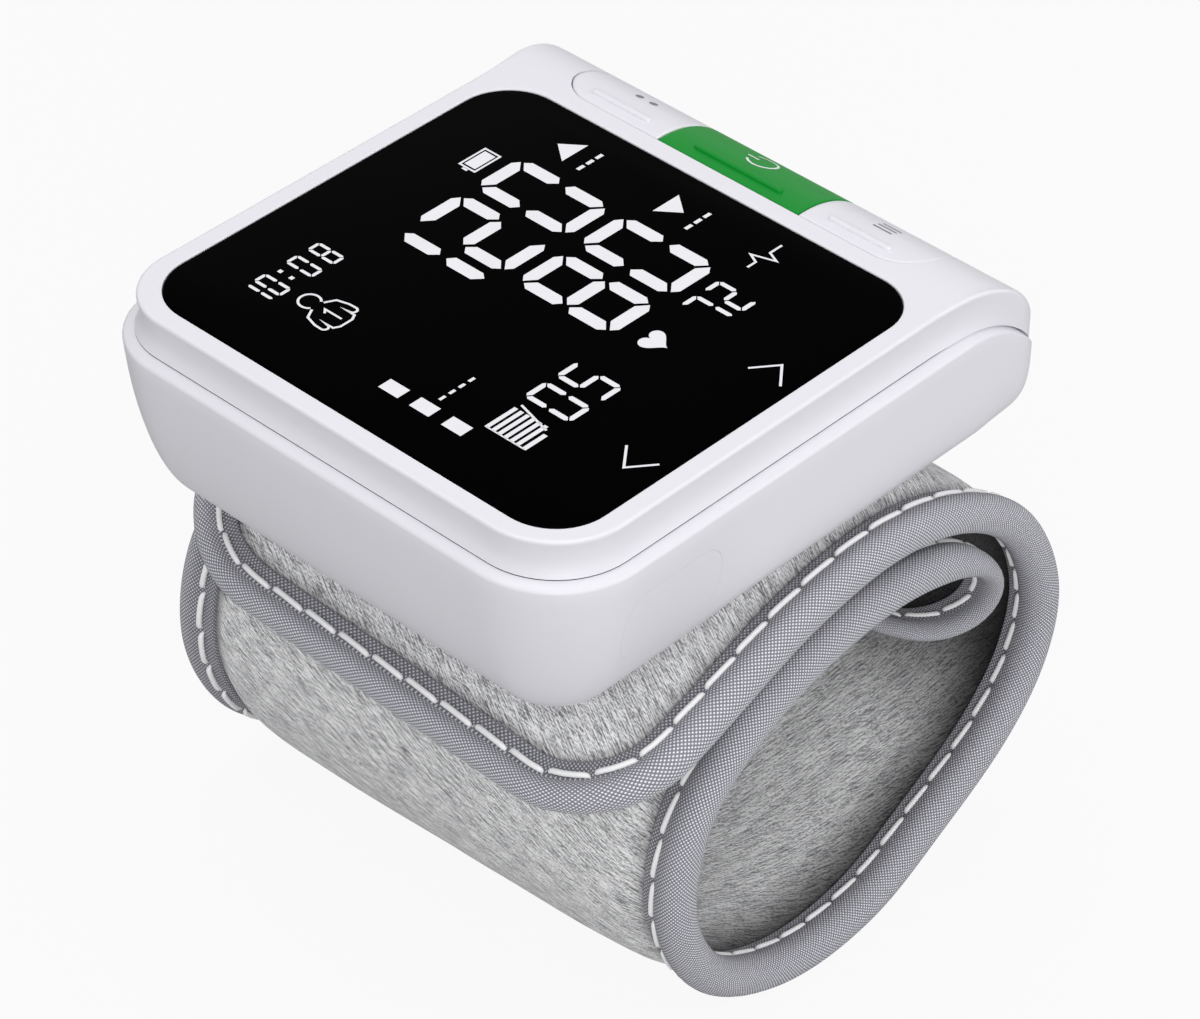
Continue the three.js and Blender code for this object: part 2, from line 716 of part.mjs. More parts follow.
// Half width of a rounded-end strip at a distance from its end
function halfWidthAt(fromEnd, halfWidth, radius) {
  const into = Math.min(Math.max(fromEnd, 0), radius);
  return halfWidth - radius + Math.sqrt(radius * radius - (radius - into) ** 2);
}

// Stations that all layers share, closer together where the cuff bends tightly
const stations = [0];
let turned = 0;
for (let distance = 0; distance < pathLength; distance += stationLength * stationStepShare) {
  const ahead = stationAt(distance + stationLength * stationStepShare);
  turned += ahead.normal.angleTo(stationAt(distance).normal);
  const gone = ahead.distance - stations[stations.length - 1];
  if (gone >= stationLength || turned >= stationTurn) {
    stations.push(ahead.distance);
    turned = 0;
  }
}

// Distances for one strip, with more of them where its ends are rounded
function stationDistances(from, to, radius, startRound, endRound) {
  const list = stations.slice();
  for (let i = 1; i <= cornerSteps; i += 1) {
    const corner = radius * (1 - Math.cos((Math.PI / 2) * (i / cornerSteps)));
    if (startRound) list.push(from + corner);
    if (endRound) list.push(to - corner);
  }
  list.sort((a, b) => a - b);
  const kept = [from];
  for (const distance of list) {
    const apart = distance - kept[kept.length - 1];
    if (apart > clearance && to - distance > clearance) kept.push(distance);
  }
  kept.push(to);
  return kept;
}

// One layer of the cuff between two offsets from the centre line
function makeLayer(from, to, inner, outer, halfY, radius, startRound, endRound) {
  const points = [];
  const triangles = [];
  const quad = (a, b, c, d) => triangles.push([a, b, c], [a, c, d]);
  const distances = stationDistances(from, to, radius, startRound, endRound);
  distances.forEach((distance) => {
    const { place, normal } = stationAt(distance);
    let halfWidth = halfY;
    if (startRound) halfWidth = Math.min(halfWidth, halfWidthAt(distance - from, halfY, radius));
    if (endRound) halfWidth = Math.min(halfWidth, halfWidthAt(to - distance, halfY, radius));
    for (const [offset, side] of [[inner, -1], [inner, 1], [outer, 1], [outer, -1]]) {
      const point = place.clone().addScaledVector(normal, offset);
      points.push(point.setY(side * halfWidth));
    }
  });
  for (let i = 0; i < distances.length - 1; i += 1) {
    const a = 4 * i;
    for (let k = 0; k < 4; k += 1) {
      const next = (k + 1) % 4;
      quad(a + k, a + 4 + k, a + 4 + next, a + next);
    }
  }
  const last = points.length - 4;
  quad(0, 1, 2, 3);
  quad(last + 3, last + 2, last + 1, last);
  return closedSurface(points, triangles);
}

// A round binding along a line on the cuff, given as distances, places across
// and the direction the line runs in
function makeBinding(line) {
  const points = [];
  const triangles = [];
  line.forEach(([distance, y, onward, across]) => {
    const { place, normal } = stationAt(distance);
    place.setY(y);
    const along = new THREE.Vector3(normal.z, 0, -normal.x).multiplyScalar(onward);
    along.setY(across).normalize();
    const side = new THREE.Vector3().crossVectors(along, normal).normalize();
    const up = new THREE.Vector3().crossVectors(side, along).normalize();
    for (let k = 0; k < bindingSides; k += 1) {
      const turn = (2 * Math.PI * (k + 1 / 2)) / bindingSides;
      const point = place.clone();
      point.addScaledVector(side, bindingRadius * Math.cos(turn));
      point.addScaledVector(up, bindingRadius * Math.sin(turn));
      points.push(point);
    }
  });
  for (let i = 0; i < line.length - 1; i += 1) {
    for (let k = 0; k < bindingSides; k += 1) {
      const a = i * bindingSides + k;
      const b = i * bindingSides + ((k + 1) % bindingSides);
      triangles.push([a, b, b + bindingSides], [a, b + bindingSides, a + bindingSides]);
    }
  }
  const last = points.length - bindingSides;
  for (let k = 1; k < bindingSides - 1; k += 1) {
    triangles.push([0, k + 1, k], [last, last + k, last + k + 1]);
  }
  return closedSurface(points, triangles);
}

const bindingCorner = strapCornerRadius - bindingRadius;
const fabricCorner = bindingCorner - bindingRadius - clearance;
const fabricEnd = 2 * bindingRadius + clearance;

function edgeLine(from, to, side) {
  const distances = stationDistances(from, to, 0, false, false);
  return distances.map((distance) => [distance, side * bindingY, 1, 0]);
}

// The binding round a rounded end, from one edge to the other
function endLine(end, inward) {
  const line = [];
  const centreY = bindingY - bindingCorner;
  for (let i = 0; i <= cornerSteps; i += 1) {
    const turn = (Math.PI / 2) * (i / cornerSteps);
    const into = strapCornerRadius - bindingCorner * Math.sin(turn);
    const y = -centreY - bindingCorner * Math.cos(turn);
    line.push([end + inward * into, y, -inward * Math.cos(turn), Math.sin(turn)]);
  }
  const mirrored = line.map(([distance, y, onward, across]) => [distance, -y, -onward, across]);
  mirrored.reverse();
  return line.concat(mirrored);
}

const stand = -standDepth;
const belowStand = solid(boxBetween(
  loopX0 - strapWidth, strapRight + strapWidth, -strapWidth, strapWidth, stand - strapWidth, stand,
));
function cutFlat(geometry) {
  return shapeOf(solid(geometry).subtract(belowStand));
}

const outerInside = strapHalf - fabricThickness;
const curlerInside = outerInside - clearance - curlerThickness;
const bladderInside = curlerInside - clearance - bladderThickness;
const topEnd = hingeDistance - hingeGap / 2;
const loopStart = hingeDistance + hingeGap / 2;

const layers = [
  ['outer_fabric', outerInside, strapHalf, 0, greyFabric],
  ['curler', curlerInside, curlerInside + curlerThickness, curlerMargin, curlerPlastic],
  ['bladder', bladderInside, bladderInside + bladderThickness, bladderMargin, bladderFilm],
  ['inner_fabric', -strapHalf, -outerInside, 0, greyFabric],
];
for (const [name, inner, outer, margin, finish] of layers) {
  const halfY = fabricHalfY - margin;
  const endStart = fabricEnd + margin;
  addPiece(`cuff_top_${name}`, makeLayer(
    endStart, topEnd, inner, outer, halfY, fabricCorner, true, false,
  ), finish);
  addPiece(`cuff_loop_${name}`, cutFlat(makeLayer(
    loopStart, pathLength - endStart, inner, outer, halfY, fabricCorner, false, true,
  )), finish);
}
const topEdgeStart = strapCornerRadius + clearance;
const loopEdgeEnd = pathLength - strapCornerRadius - clearance;
for (const [name, side] of [['front', -1], ['back', 1]]) {
  addPiece(`cuff_top_${name}_binding`, makeBinding(edgeLine(topEdgeStart, topEnd, side)),
    bindingFabric);
  addPiece(`cuff_loop_${name}_binding`,
    cutFlat(makeBinding(edgeLine(loopStart, loopEdgeEnd, side))), bindingFabric);
}
addPiece('cuff_top_end_binding', makeBinding(endLine(0, 1)), bindingFabric);
addPiece('cuff_loop_end_binding', makeBinding(endLine(pathLength, -1)), bindingFabric);

// Hook pad on the outer face of the tucked-in end
const hookEnd = pathLength - strapCornerRadius - hookPadMargin;
addPiece('hook_pad', makeLayer(
  hookEnd - hookPadLength, hookEnd, strapHalf + clearance, strapHalf + clearance + hookPadThickness,
  fabricHalfY - hookPadMargin, hookPadMargin, false, false,
), blackPlastic);

// Saddle: a plastic block between the housing's floor and the cuff's top layer
function makeSaddle() {
  const outline = new THREE.Shape();
  const reach = saddleLength / 2;
  outline.moveTo(saddleX - reach, -saddleTop);
  outline.lineTo(saddleX + reach, -saddleTop);
  const below = [];
  for (let distance = 0; distance < hingeDistance; distance += stationLength / 2) {
    const { place, normal } = stationAt(distance);
    const point = place.clone().addScaledVector(normal, strapHalf + clearance);
    if (Math.abs(point.x - saddleX) < reach) below.push(point);
  }
  for (const point of below.reverse()) outline.lineTo(point.x, point.z);
  outline.closePath();
  let saddle = solid(sidePrism(outline, saddleWidth / 2));
  for (const [x, y] of saddleScrewPlaces) {
    const well = column(x, y, screwHeadRadius + clearance, -loopTop, -saddleTop - screwHeadHeight / 4);
    const hole = column(x, y, screwRadius + clearance, -loopTop, overrun - saddleTop);
    saddle = saddle.subtract(well).subtract(hole);
  }
  const nippleHole = column(saddleX, nippleY, nippleRadius + clearance, -loopTop, overrun - saddleTop);
  return saddle.subtract(nippleHole);
}
addPiece('cuff_saddle', shapeOf(makeSaddle()), whitePlastic);
saddleScrewPlaces.forEach(([x, y], index) => {
  const mesh = addPiece(`saddle_screw_${index + 1}`, shapeOf(makeScrew(saddleScrewLength)), steel);
  mesh.position.set(x, y, -saddleTop - screwHeadHeight / 4 - clearance);
});

// Air nipple from the tube through the floor and the saddle to the cuff
const nippleTop = tubeZ - tubeRadius - clearance;
const nippleBottom = -loopTop + strapHalf + clearance;
addPiece('air_nipple', rod(nippleRadius, nippleTop - nippleBottom, 'z').translate(
  saddleX, nippleY, (nippleTop + nippleBottom) / 2,
), silicone);

const bounds = new THREE.Box3().setFromObject(monitor, true);
monitor.position.x = -(bounds.min.x + bounds.max.x) / 2;

const part = new THREE.Group();
part.add(monitor);
export default part;
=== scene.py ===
import math

import bmesh
import bpy
from mathutils import Matrix, Vector, noise


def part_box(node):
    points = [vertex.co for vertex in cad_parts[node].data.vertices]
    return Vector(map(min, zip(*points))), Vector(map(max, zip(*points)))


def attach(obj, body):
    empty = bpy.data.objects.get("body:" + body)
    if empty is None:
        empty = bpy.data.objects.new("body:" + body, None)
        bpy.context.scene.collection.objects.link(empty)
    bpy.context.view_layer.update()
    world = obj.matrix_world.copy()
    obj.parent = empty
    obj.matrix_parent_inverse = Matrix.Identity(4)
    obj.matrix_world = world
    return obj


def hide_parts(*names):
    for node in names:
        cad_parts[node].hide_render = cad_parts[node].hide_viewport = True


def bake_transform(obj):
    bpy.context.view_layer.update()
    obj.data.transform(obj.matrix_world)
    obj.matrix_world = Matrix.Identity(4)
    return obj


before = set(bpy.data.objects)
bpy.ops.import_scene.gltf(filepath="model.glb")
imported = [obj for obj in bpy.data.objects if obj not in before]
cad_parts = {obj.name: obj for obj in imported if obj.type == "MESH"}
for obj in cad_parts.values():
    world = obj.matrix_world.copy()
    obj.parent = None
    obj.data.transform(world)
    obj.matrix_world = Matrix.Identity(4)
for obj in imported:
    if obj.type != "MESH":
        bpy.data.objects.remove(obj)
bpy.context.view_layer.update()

# Camera and studio. The camera looks down on the front left corner with a long
# lens. Soft lamps above and to the front right and a weak one on the left leave
# the left walls a little darker, and one beside the camera lights the cuff's inside.
MM = 0.001
CAMERA_PLACE = (-306.53, -297.09, 313.79)
# Lamps and floor are given in metres
LAMP_TARGET = Vector((0, 0, 0.045))
FLOOR_HALF = 3.0
window_low, window_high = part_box("display_window")
origin = Vector((
    (window_low[0] + window_high[0]) / 2,
    (window_low[1] + window_high[1]) / 2,
    window_high[2],
))


def place(x, y, z):
    return origin + Vector((x, y, z)) * MM


camera = bpy.data.objects.new("camera", bpy.data.cameras.new("camera"))
bpy.context.collection.objects.link(camera)
camera_right = Vector((0.68711, -0.72651, 0.00760))
camera_up = Vector((0.45191, 0.43554, 0.77851))
camera_back = camera_right.cross(camera_up)
camera.matrix_world = Matrix.Translation(place(*CAMERA_PLACE)) @ Matrix((
    camera_right, camera_up, camera_back)).transposed().to_4x4()
camera.data.sensor_width = 36
camera.data.lens = 143.58
camera.data.clip_start = 0.01
bpy.context.scene.camera = camera
bpy.context.scene.view_settings.view_transform = "Standard"


def add_lamp(name, position, width, power):
    lamp = bpy.data.objects.new(name, bpy.data.lights.new(name, "AREA"))
    bpy.context.collection.objects.link(lamp)
    lamp.data.shape = "SQUARE"
    lamp.data.size = width
    lamp.data.energy = power
    lamp.location = position
    aim = LAMP_TARGET - Vector(position)
    lamp.rotation_euler = aim.to_track_quat("-Z", "Y").to_euler()


add_lamp("lamp_front_right", (0.35, -0.62, 0.42), 0.5, 1.8)
add_lamp("lamp_top", (0.05, 0.15, 0.95), 0.7, 3.15)
add_lamp("lamp_left", (-0.75, 0.1, 0.6), 0.6, 1.0)
add_lamp("lamp_camera_side", (-0.45, -0.5, 0.42), 0.4, 2.2)


def set_inputs(tree, node, inputs):
    """Sets a node's inputs, each to a value or to another node's output."""
    for name, source in inputs.items():
        if isinstance(source, bpy.types.NodeSocket):
            tree.links.new(source, node.inputs[name])
        else:
            node.inputs[name].default_value = source


def add_node(tree, kind, inputs=None, **settings):
    """Adds a shader node with those inputs and settings, and gives its outputs."""
    node = tree.nodes.new("ShaderNode" + kind)
    for name, setting in settings.items():
        setattr(node, name, setting)
    set_inputs(tree, node, inputs or {})
    return node.outputs


def reckon(tree, operation, *numbers):
    """One sum on values or on other nodes' outputs."""
    return add_node(tree, "Math", dict(enumerate(numbers)), operation=operation)[0]


world = bpy.data.worlds.new("studio")
bpy.context.scene.world = world
world.use_nodes = True
tree = world.node_tree
tree.nodes.clear()
ray = add_node(tree, "LightPath")
seen = reckon(tree, "MAXIMUM", ray["Is Camera Ray"], ray["Is Glossy Ray"])
seen = reckon(tree, "MAXIMUM", seen, ray["Is Transmission Ray"])
lit = add_node(tree, "Background", {"Color": (0.97, 0.97, 1.0, 1), "Strength": 0.36})[0]
shown = add_node(tree, "Background", {"Color": (1, 1, 1, 1), "Strength": 1.0})[0]
surface = add_node(tree, "MixShader", {"Fac": seen, 1: lit, 2: shown})[0]
add_node(tree, "OutputWorld", {"Surface": surface})


def new_material(name):
    made = bpy.data.materials.new(name)
    made.use_nodes = True
    return made, made.node_tree, made.node_tree.nodes["Principled BSDF"]


def smooth_faces(mesh, sharp_from):
    """Shades a mesh smooth, apart from edges that bend by more than that angle."""
    for face in mesh.faces:
        face.smooth = True
    for edge in mesh.edges:
        edge.smooth = not (
            len(edge.link_faces) == 2 and edge.calc_face_angle(0) > math.radians(sharp_from))


def finish_mesh(mesh, name, material, sharp_from=40, flip_out=True):
    """Closes doubled points, turns the faces out and makes the object."""
    bmesh.ops.remove_doubles(mesh, verts=mesh.verts, dist=1e-6)
    bmesh.ops.dissolve_degenerate(mesh, edges=mesh.edges, dist=1e-7)
    if flip_out:
        bmesh.ops.recalc_face_normals(mesh, faces=mesh.faces)
    smooth_faces(mesh, sharp_from)
    data = bpy.data.meshes.new(name)
    mesh.to_mesh(data)
    mesh.free()
    made = bpy.data.objects.new(name, data)
    bpy.context.collection.objects.link(made)
    made.data.materials.append(material)
    return made


floor_paint, tree, shader = new_material("studio_floor")
set_inputs(tree, shader, {
    "Base Color": (0.52, 0.52, 0.52, 1), "Roughness": 0.9, "Specular IOR Level": 0.0})
seen = reckon(tree, "MULTIPLY", add_node(tree, "LightPath")["Is Camera Ray"], 0.92)
shown = add_node(tree, "Emission", {"Color": (1, 1, 1, 1)})[0]
surface = add_node(tree, "MixShader", {"Fac": seen, 1: shader.outputs[0], 2: shown})[0]
set_inputs(tree, tree.nodes["Material Output"], {"Surface": surface})
floor_mesh = bmesh.new()
bmesh.ops.create_grid(floor_mesh, x_segments=1, y_segments=1, size=FLOOR_HALF)
finish_mesh(floor_mesh, "studio_floor", floor_paint, flip_out=False)

# Lower housing: a deep moulded ABS shell with a flat bright rim that the cover
# stands on. The hidden strip of rim under the cover's foot is painted near-black
# as painted shade for the shadowed gap there. Its walls draw in towards the
# foot, and the floor steps up from the battery bay to the part over the wrist.
COVER_LEFT = 32.0
COVER_HALF_Y = 34.9
# Corner radii: back right, back left, front left, front right
COVER_CORNERS = (6.0, 8.6, 10.0, 5.1)
SHOULDER_X = 32.7
SHOULDER_R = 14.1
COVER_RIGHT = SHOULDER_X + SHOULDER_R
SEAM_TOP = -4.72
SEAM_END = -14.6
SEAM_BEND_X = 41.0
RIM_STEP = 1.8
END_STEP = 0.2
RIM_GAP = 0.12
RIM_FALL = 0.9
# How much of the gap and of the fall is lost at the shoulder, and where along X
GAP_LOSS, GAP_LOSS_X = 0.75, (38, 45)
FALL_LOSS, SHOULDER_END_X = 0.6, (40, 46)
# Insets and falls of the rim's rings, from the hidden ledge out to the wall
RIM_ROUND = [
    (3.4, 0.0), (1.4, 0.0), (0.9, 0.16), (0.36, 0.42), (0.18, 0.52), (0.06, 0.68), (0.0, RIM_FALL)]
HOUSING_HALF_Y = COVER_HALF_Y + RIM_STEP
WALL = 1.6
DEEP_Z = -26.5
SHALLOW_Z = -21.8
DEEP_END_X = -14.0
SHALLOW_START_X = 2.0
FOOT_R = 7.0
SHALLOW_FOOT_R = 4.2
WALL_LEAN = 0.2
END_DRAW, END_DRAW_X = 1.3, (35, 45)
WALL_ROWS = 18
FLOOR_SHARES = [0.92, 0.78, 0.6, 0.4, 0.2, 0.0]
OUTLINE_STEPS = (14, 56, 18)


def smooth_share(value, start, end):
    share = min(max((value - start) / (end - start), 0), 1)
    return share * share * (3 - 2 * share)


def seam_height(x):
    """Height of the parting line, which falls away on the shoulder."""
    if x <= SHOULDER_X:
        return SEAM_TOP
    x = min(x, COVER_RIGHT - 0.01)
    low, high = 0.0, 1.0
    for _ in range(30):
        t = (low + high) / 2
        here = (1 - t) ** 2 * SHOULDER_X + 2 * t * (1 - t) * SEAM_BEND_X + t * t * COVER_RIGHT
        if here < x:
            low = t
        else:
            high = t
    return SEAM_TOP + (SEAM_END - SEAM_TOP) * t * t


def outline_spots(x0, x1, y0, y1, radii, arc, long_side, short_side):
    """Places round a rounded rectangle: the centre each turns about, the way it
    faces and its radius, so an inset is only a shorter radius. The radii go
    round from the +X +Y corner."""
    spots = []
    corners = [(x1, y1, -1, -1), (x0, y1, 1, -1), (x0, y0, 1, 1), (x1, y0, -1, 1)]
    steps = [long_side, short_side, long_side, short_side]
    for k in range(4):
        x, y, inward_x, inward_y = corners[k]
        radius = radii[k]
        cx, cy = x + inward_x * radius, y + inward_y * radius
        for i in range(arc + 1):
            turn = math.pi / 2 * (k + i / arc)
            spots.append((cx, cy, math.cos(turn), math.sin(turn), radius))
        x, y, inward_x, inward_y = corners[(k + 1) % 4]
        after = radii[(k + 1) % 4]
        ex, ey = x + inward_x * after, y + inward_y * after
        turn = math.pi / 2 * (k + 1)
        for i in range(1, steps[k]):
            share = i / steps[k]
            spots.append((
                cx + (ex - cx) * share, cy + (ey - cy) * share,
                math.cos(turn), math.sin(turn), radius + (after - radius) * share))
    return spots


def inset_line(spots, inset=0.0):
    """An outline's places in plan, moved inwards."""
    return [(cx + dx * (r - inset), cy + dy * (r - inset)) for cx, cy, dx, dy, r in spots]


def first_ring(mesh, places):
    made = bmesh.ops.create_circle(mesh, segments=len(places), radius=1, cap_ends=False)
    for vertex, spot in zip(made["verts"], places):
        vertex.co = spot
    return made["verts"]


def next_ring(mesh, ring, places, closed=True):
    """Pulls the last ring's edges on to the next places."""
    count = len(ring)
    pairs = [(ring[i], ring[(i + 1) % count]) for i in range(count if closed else count - 1)]
    made = bmesh.ops.extrude_edge_only(mesh, edges=[mesh.edges.get(pair) for pair in pairs])
    new = {item for item in made["geom"] if isinstance(item, bmesh.types.BMVert)}
    grown = []
    for vertex in ring:
        other = [edge.other_vert(vertex) for edge in vertex.link_edges]
        grown.append(next(found for found in other if found in new))
    for vertex, spot in zip(grown, places):
        vertex.co = spot
    return grown


def skin(mesh, rows, start=True, end=True):
    """Draws a skin through rows of places, with a face on its start and end."""
    rings = [first_ring(mesh, rows[0])]
    if start:
        mesh.faces.new(rings[0])
    for places in rows[1:]:
        rings.append(next_ring(mesh, rings[-1], places))
    if end:
        mesh.faces.new(rings[-1])
    return rings


def mottle(tree, scale, detail=2, spot=None, roughness=0.5):
    """Noise over a piece, on its own coordinates unless others are given."""
    if spot is None:
        spot = add_node(tree, "TexCoord")["Object"]
    return add_node(tree, "TexNoise", {
        "Vector": spot, "Scale": scale, "Detail": detail, "Roughness": roughness})["Fac"]


def spread(tree, value, low, high):
    return add_node(tree, "MapRange", {"Value": value, "To Min": low, "To Max": high})["Result"]


def mix_colours(tree, share, one, two, blend="MIX"):
    return add_node(
        tree, "Mix", {"Factor": share, 6: one, 7: two}, data_type="RGBA", blend_type=blend)[2]


def add_bump(tree, shader, height, strength, distance):
    normal = add_node(tree, "Bump", {
        "Height": height, "Strength": strength, "Distance": distance})["Normal"]
    set_inputs(tree, shader, {"Normal": normal})


def fine_finish(name, light, dark, roughness, grain=0.25, more=None):
    """A moulded or plated finish with a fine even grain and faint tone drift."""
    made, tree, shader = new_material(name)
    drift = mottle(tree, 45)
    set_inputs(tree, shader, {
        "Base Color": mix_colours(tree, drift, (*dark, 1), (*light, 1)),
        "Roughness": spread(tree, drift, roughness - 0.04, roughness + 0.04)})
    set_inputs(tree, shader, more or {})
    add_bump(tree, shader, mottle(tree, 5200, 3), grain, 0.00002)
    return made


white_plastic = fine_finish(
    "pale_moulded_plastic", (0.80, 0.79, 0.835), (0.775, 0.765, 0.81), 0.4)
# Painted shade: near-black for the rim strip under the cover's foot, where the gap lies in shadow
seam_painted_shade = fine_finish("seam_painted_shade", (0.05, 0.05, 0.055), (0.035, 0.035, 0.04), 0.7)


def depth_here(x):
    return DEEP_Z + (SHALLOW_Z - DEEP_Z) * smooth_share(x, DEEP_END_X, SHALLOW_START_X)


def drawn_in(x, share):
    """How far the wall has drawn in, a share of the way down to the foot."""
    deep = WALL_LEAN * share + (1 - WALL_LEAN) * (1 - math.sqrt(max(0, 1 - share ** 2)))
    end = END_DRAW * smooth_share(x, *END_DRAW_X) * share ** 3
    shallow = 1 - math.sqrt(max(0, 1 - share ** 6))
    way = smooth_share(x, DEEP_END_X, SHALLOW_START_X)
    return FOOT_R * deep * (1 - way) + SHALLOW_FOOT_R * shallow * way + end


corner_growth = (END_STEP, RIM_STEP, RIM_STEP, END_STEP)
housing_spots = outline_spots(
    -COVER_LEFT - RIM_STEP, COVER_RIGHT + END_STEP, -HOUSING_HALF_Y, HOUSING_HALF_Y,
    tuple(radius + more for radius, more in zip(COVER_CORNERS, corner_growth)), *OUTLINE_STEPS)


def housing_places(inset, fall, share=0.0):
    """A ring of the shell: inset from its widest outline, at the rim with a fall
    below the seam, or a share of the way down to the floor."""
    places = []
    for cx, cy, dx, dy, radius in housing_spots:
        base_x = cx + dx * radius
        step = min(radius - (drawn_in(base_x, share) + inset), radius)
        x = cx + dx * step
        y = cy + dy * step
        gap = RIM_GAP * (1 - GAP_LOSS * smooth_share(base_x, *GAP_LOSS_X))
        drop = fall * (1 - FALL_LOSS * smooth_share(base_x, *SHOULDER_END_X))
        rim = seam_height(base_x) - gap - drop
        places.append(place(x, y, rim + (depth_here(x) - rim) * share))
    return places


rows = [housing_places(inset, fall) for inset, fall in RIM_ROUND]
for i in range(1, WALL_ROWS + 1):
    rows.append(housing_places(0.0, RIM_FALL, math.sin(math.pi / 2 * i / WALL_ROWS)))
foot = [(spot - origin) / MM for spot in rows[-1]]
foot_middle = (min(spot.x for spot in foot) + max(spot.x for spot in foot)) / 2
for keep in FLOOR_SHARES:
    places = []
    for spot in foot:
        x = foot_middle + (spot.x - foot_middle) * (0.55 + 0.45 * keep)
        places.append(place(x, spot.y * keep, depth_here(x)))
    rows.append(places)
shell = bmesh.new()
rings = skin(shell, rows, start=False, end=False)
# The two innermost rim rings lie under the cover's foot, and their faces get the painted shade
seam_shade_rings = {*rings[0], *rings[1]}
for face in shell.faces:
    face.material_index = 1 if seam_shade_rings.issuperset(face.verts) else 0
lower_shell = finish_mesh(shell, "lower_shell", white_plastic)
lower_shell.data.materials.append(seam_painted_shade)


def apply_modifiers(piece):
    """Bakes a piece's modifiers into its mesh and drops them."""
    bpy.context.view_layer.update()
    seen = bpy.context.evaluated_depsgraph_get()
    baked = bpy.data.meshes.new_from_object(piece.evaluated_get(seen))
    piece.modifiers.clear()
    old = piece.data
    piece.data = baked
    bpy.data.meshes.remove(old)
    baked.name = piece.name


def thicken(piece, thickness):
    wall = piece.modifiers.new("wall", "SOLIDIFY")
    wall.thickness = thickness * MM
    wall.offset = -1
    apply_modifiers(piece)


def cut_with(piece, cutter, operation):
    """Joins to a piece, cuts from it or keeps only what lies in a tool, then
    drops the tool."""
    change = piece.modifiers.new("cut", "BOOLEAN")
    change.operation = operation
    change.solver = "EXACT"
    change.object = cutter
    apply_modifiers(piece)
    data = cutter.data
    bpy.data.objects.remove(cutter)
    bpy.data.meshes.remove(data)


def smooth_again(piece):
    """Shades a cut piece, after its doubled points are closed."""
    mesh = bmesh.new()
    mesh.from_mesh(piece.data)
    bmesh.ops.remove_doubles(mesh, verts=mesh.verts, dist=2e-6)
    smooth_faces(mesh, sharp_from=35)
    mesh.to_mesh(piece.data)
    mesh.free()


def column(x, y, radius, bottom, top):
    """An upright round bar."""
    mesh = bmesh.new()
    bmesh.ops.create_cone(
        mesh, cap_ends=True, segments=32, radius1=radius * MM, radius2=radius * MM,
        depth=(top - bottom) * MM, matrix=Matrix.Translation(place(x, y, (bottom + top) / 2)))
    return finish_mesh(mesh, "screw_tool", white_plastic)


SCREW_PLACES = [(-23.6, 27.6), (-23.6, -27.6), (37.2, 29.6), (37.2, -29.6)]
# Radius, and lower and upper end from the floor, of a screw's post, well and hole
SCREW_BARS = [
    ("UNION", 3.5, 1.0, 4.6), ("DIFFERENCE", 2.5, -2.0, 2.8), ("DIFFERENCE", 1.4, 0.0, 6.0)]
thicken(lower_shell, WALL)
for x, y in SCREW_PLACES:
    for operation, radius, bottom, top in SCREW_BARS:
        bar = column(x, y, radius, depth_here(x) + bottom, depth_here(x) + top)
        cut_with(lower_shell, bar, operation)

# Charging port cover: a small flap that lies flush in the front wall, cut
# to the wall's own curve, with a hairline gap round it.
PORT_X = -15.3
PORT_TOP = -9.6
PORT_WIDTH = 15.0
PORT_HEIGHT = 10.0
PORT_RADIUS = 3.5
PORT_GAP = 0.025
PORT_CUT_OUT = 4
PORT_CUT_IN = 9


def port_block(margin):
    """A rounded bar along Y through the front wall."""
    outline = inset_line(outline_spots(
        PORT_X - PORT_WIDTH / 2 - margin, PORT_X + PORT_WIDTH / 2 + margin,
        PORT_TOP - PORT_HEIGHT - margin, PORT_TOP + margin, (PORT_RADIUS + margin,) * 4, 10, 6, 4))
    mesh = bmesh.new()
    skin(mesh, [
        [place(x, y, z) for x, z in outline]
        for y in (-HOUSING_HALF_Y - PORT_CUT_OUT, -HOUSING_HALF_Y + PORT_CUT_IN)])
    return finish_mesh(mesh, "port_tool", white_plastic)


port_flap = bpy.data.objects.new("port_flap", lower_shell.data.copy())
bpy.context.collection.objects.link(port_flap)
cut_with(port_flap, port_block(-PORT_GAP), "INTERSECT")
cut_with(lower_shell, port_block(0.0), "DIFFERENCE")
smooth_again(port_flap)
smooth_again(lower_shell)
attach(port_flap, "port_cover")
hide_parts("port_cover")
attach(lower_shell, "housing")
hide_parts("lower_housing")

# Top cover: a moulded shell of the same plastic. A narrow frame runs
# round the display, its side walls are slightly hollow, and on the right it
# rolls over into a round shoulder with a slot for the buttons.
WINDOW_HALF_X = 29.5
WINDOW_HALF_Y = 32.4
WINDOW_CORNERS = (7.0, 7.0, 7.0, 6.4)
SHOULDER_SWELL, SWELL_X = 1.35, (27, 44)
EDGE_R = 0.45
EDGE_GROWTH = 2.65
# The most of the wall's height that the rounded edge takes
EDGE_LIMIT_SHARE = 0.6
EDGE_SHARES = [0.12, 0.25, 0.38, 0.5, 0.62, 0.75, 0.88, 1.0]
WALL_SHARES = [0.12, 0.28, 0.46, 0.6, 0.7, 0.8, 0.9, 1.0]
TOP_STEPS = 26
HOLLOW = 0.3
FOOT_FLARE = 0.4
FLARE_START_SHARE = 0.6
HOLLOW_END_X = (30, 42)
COVER_WALL = 1.5
SLOT_X0, SLOT_X1, SLOT_HALF_Y, SLOT_CORNER = 32.0, 44.0, 27.4, 5.2
SLOT_CUT_TOP, SLOT_CUT_BOTTOM = 3, -14
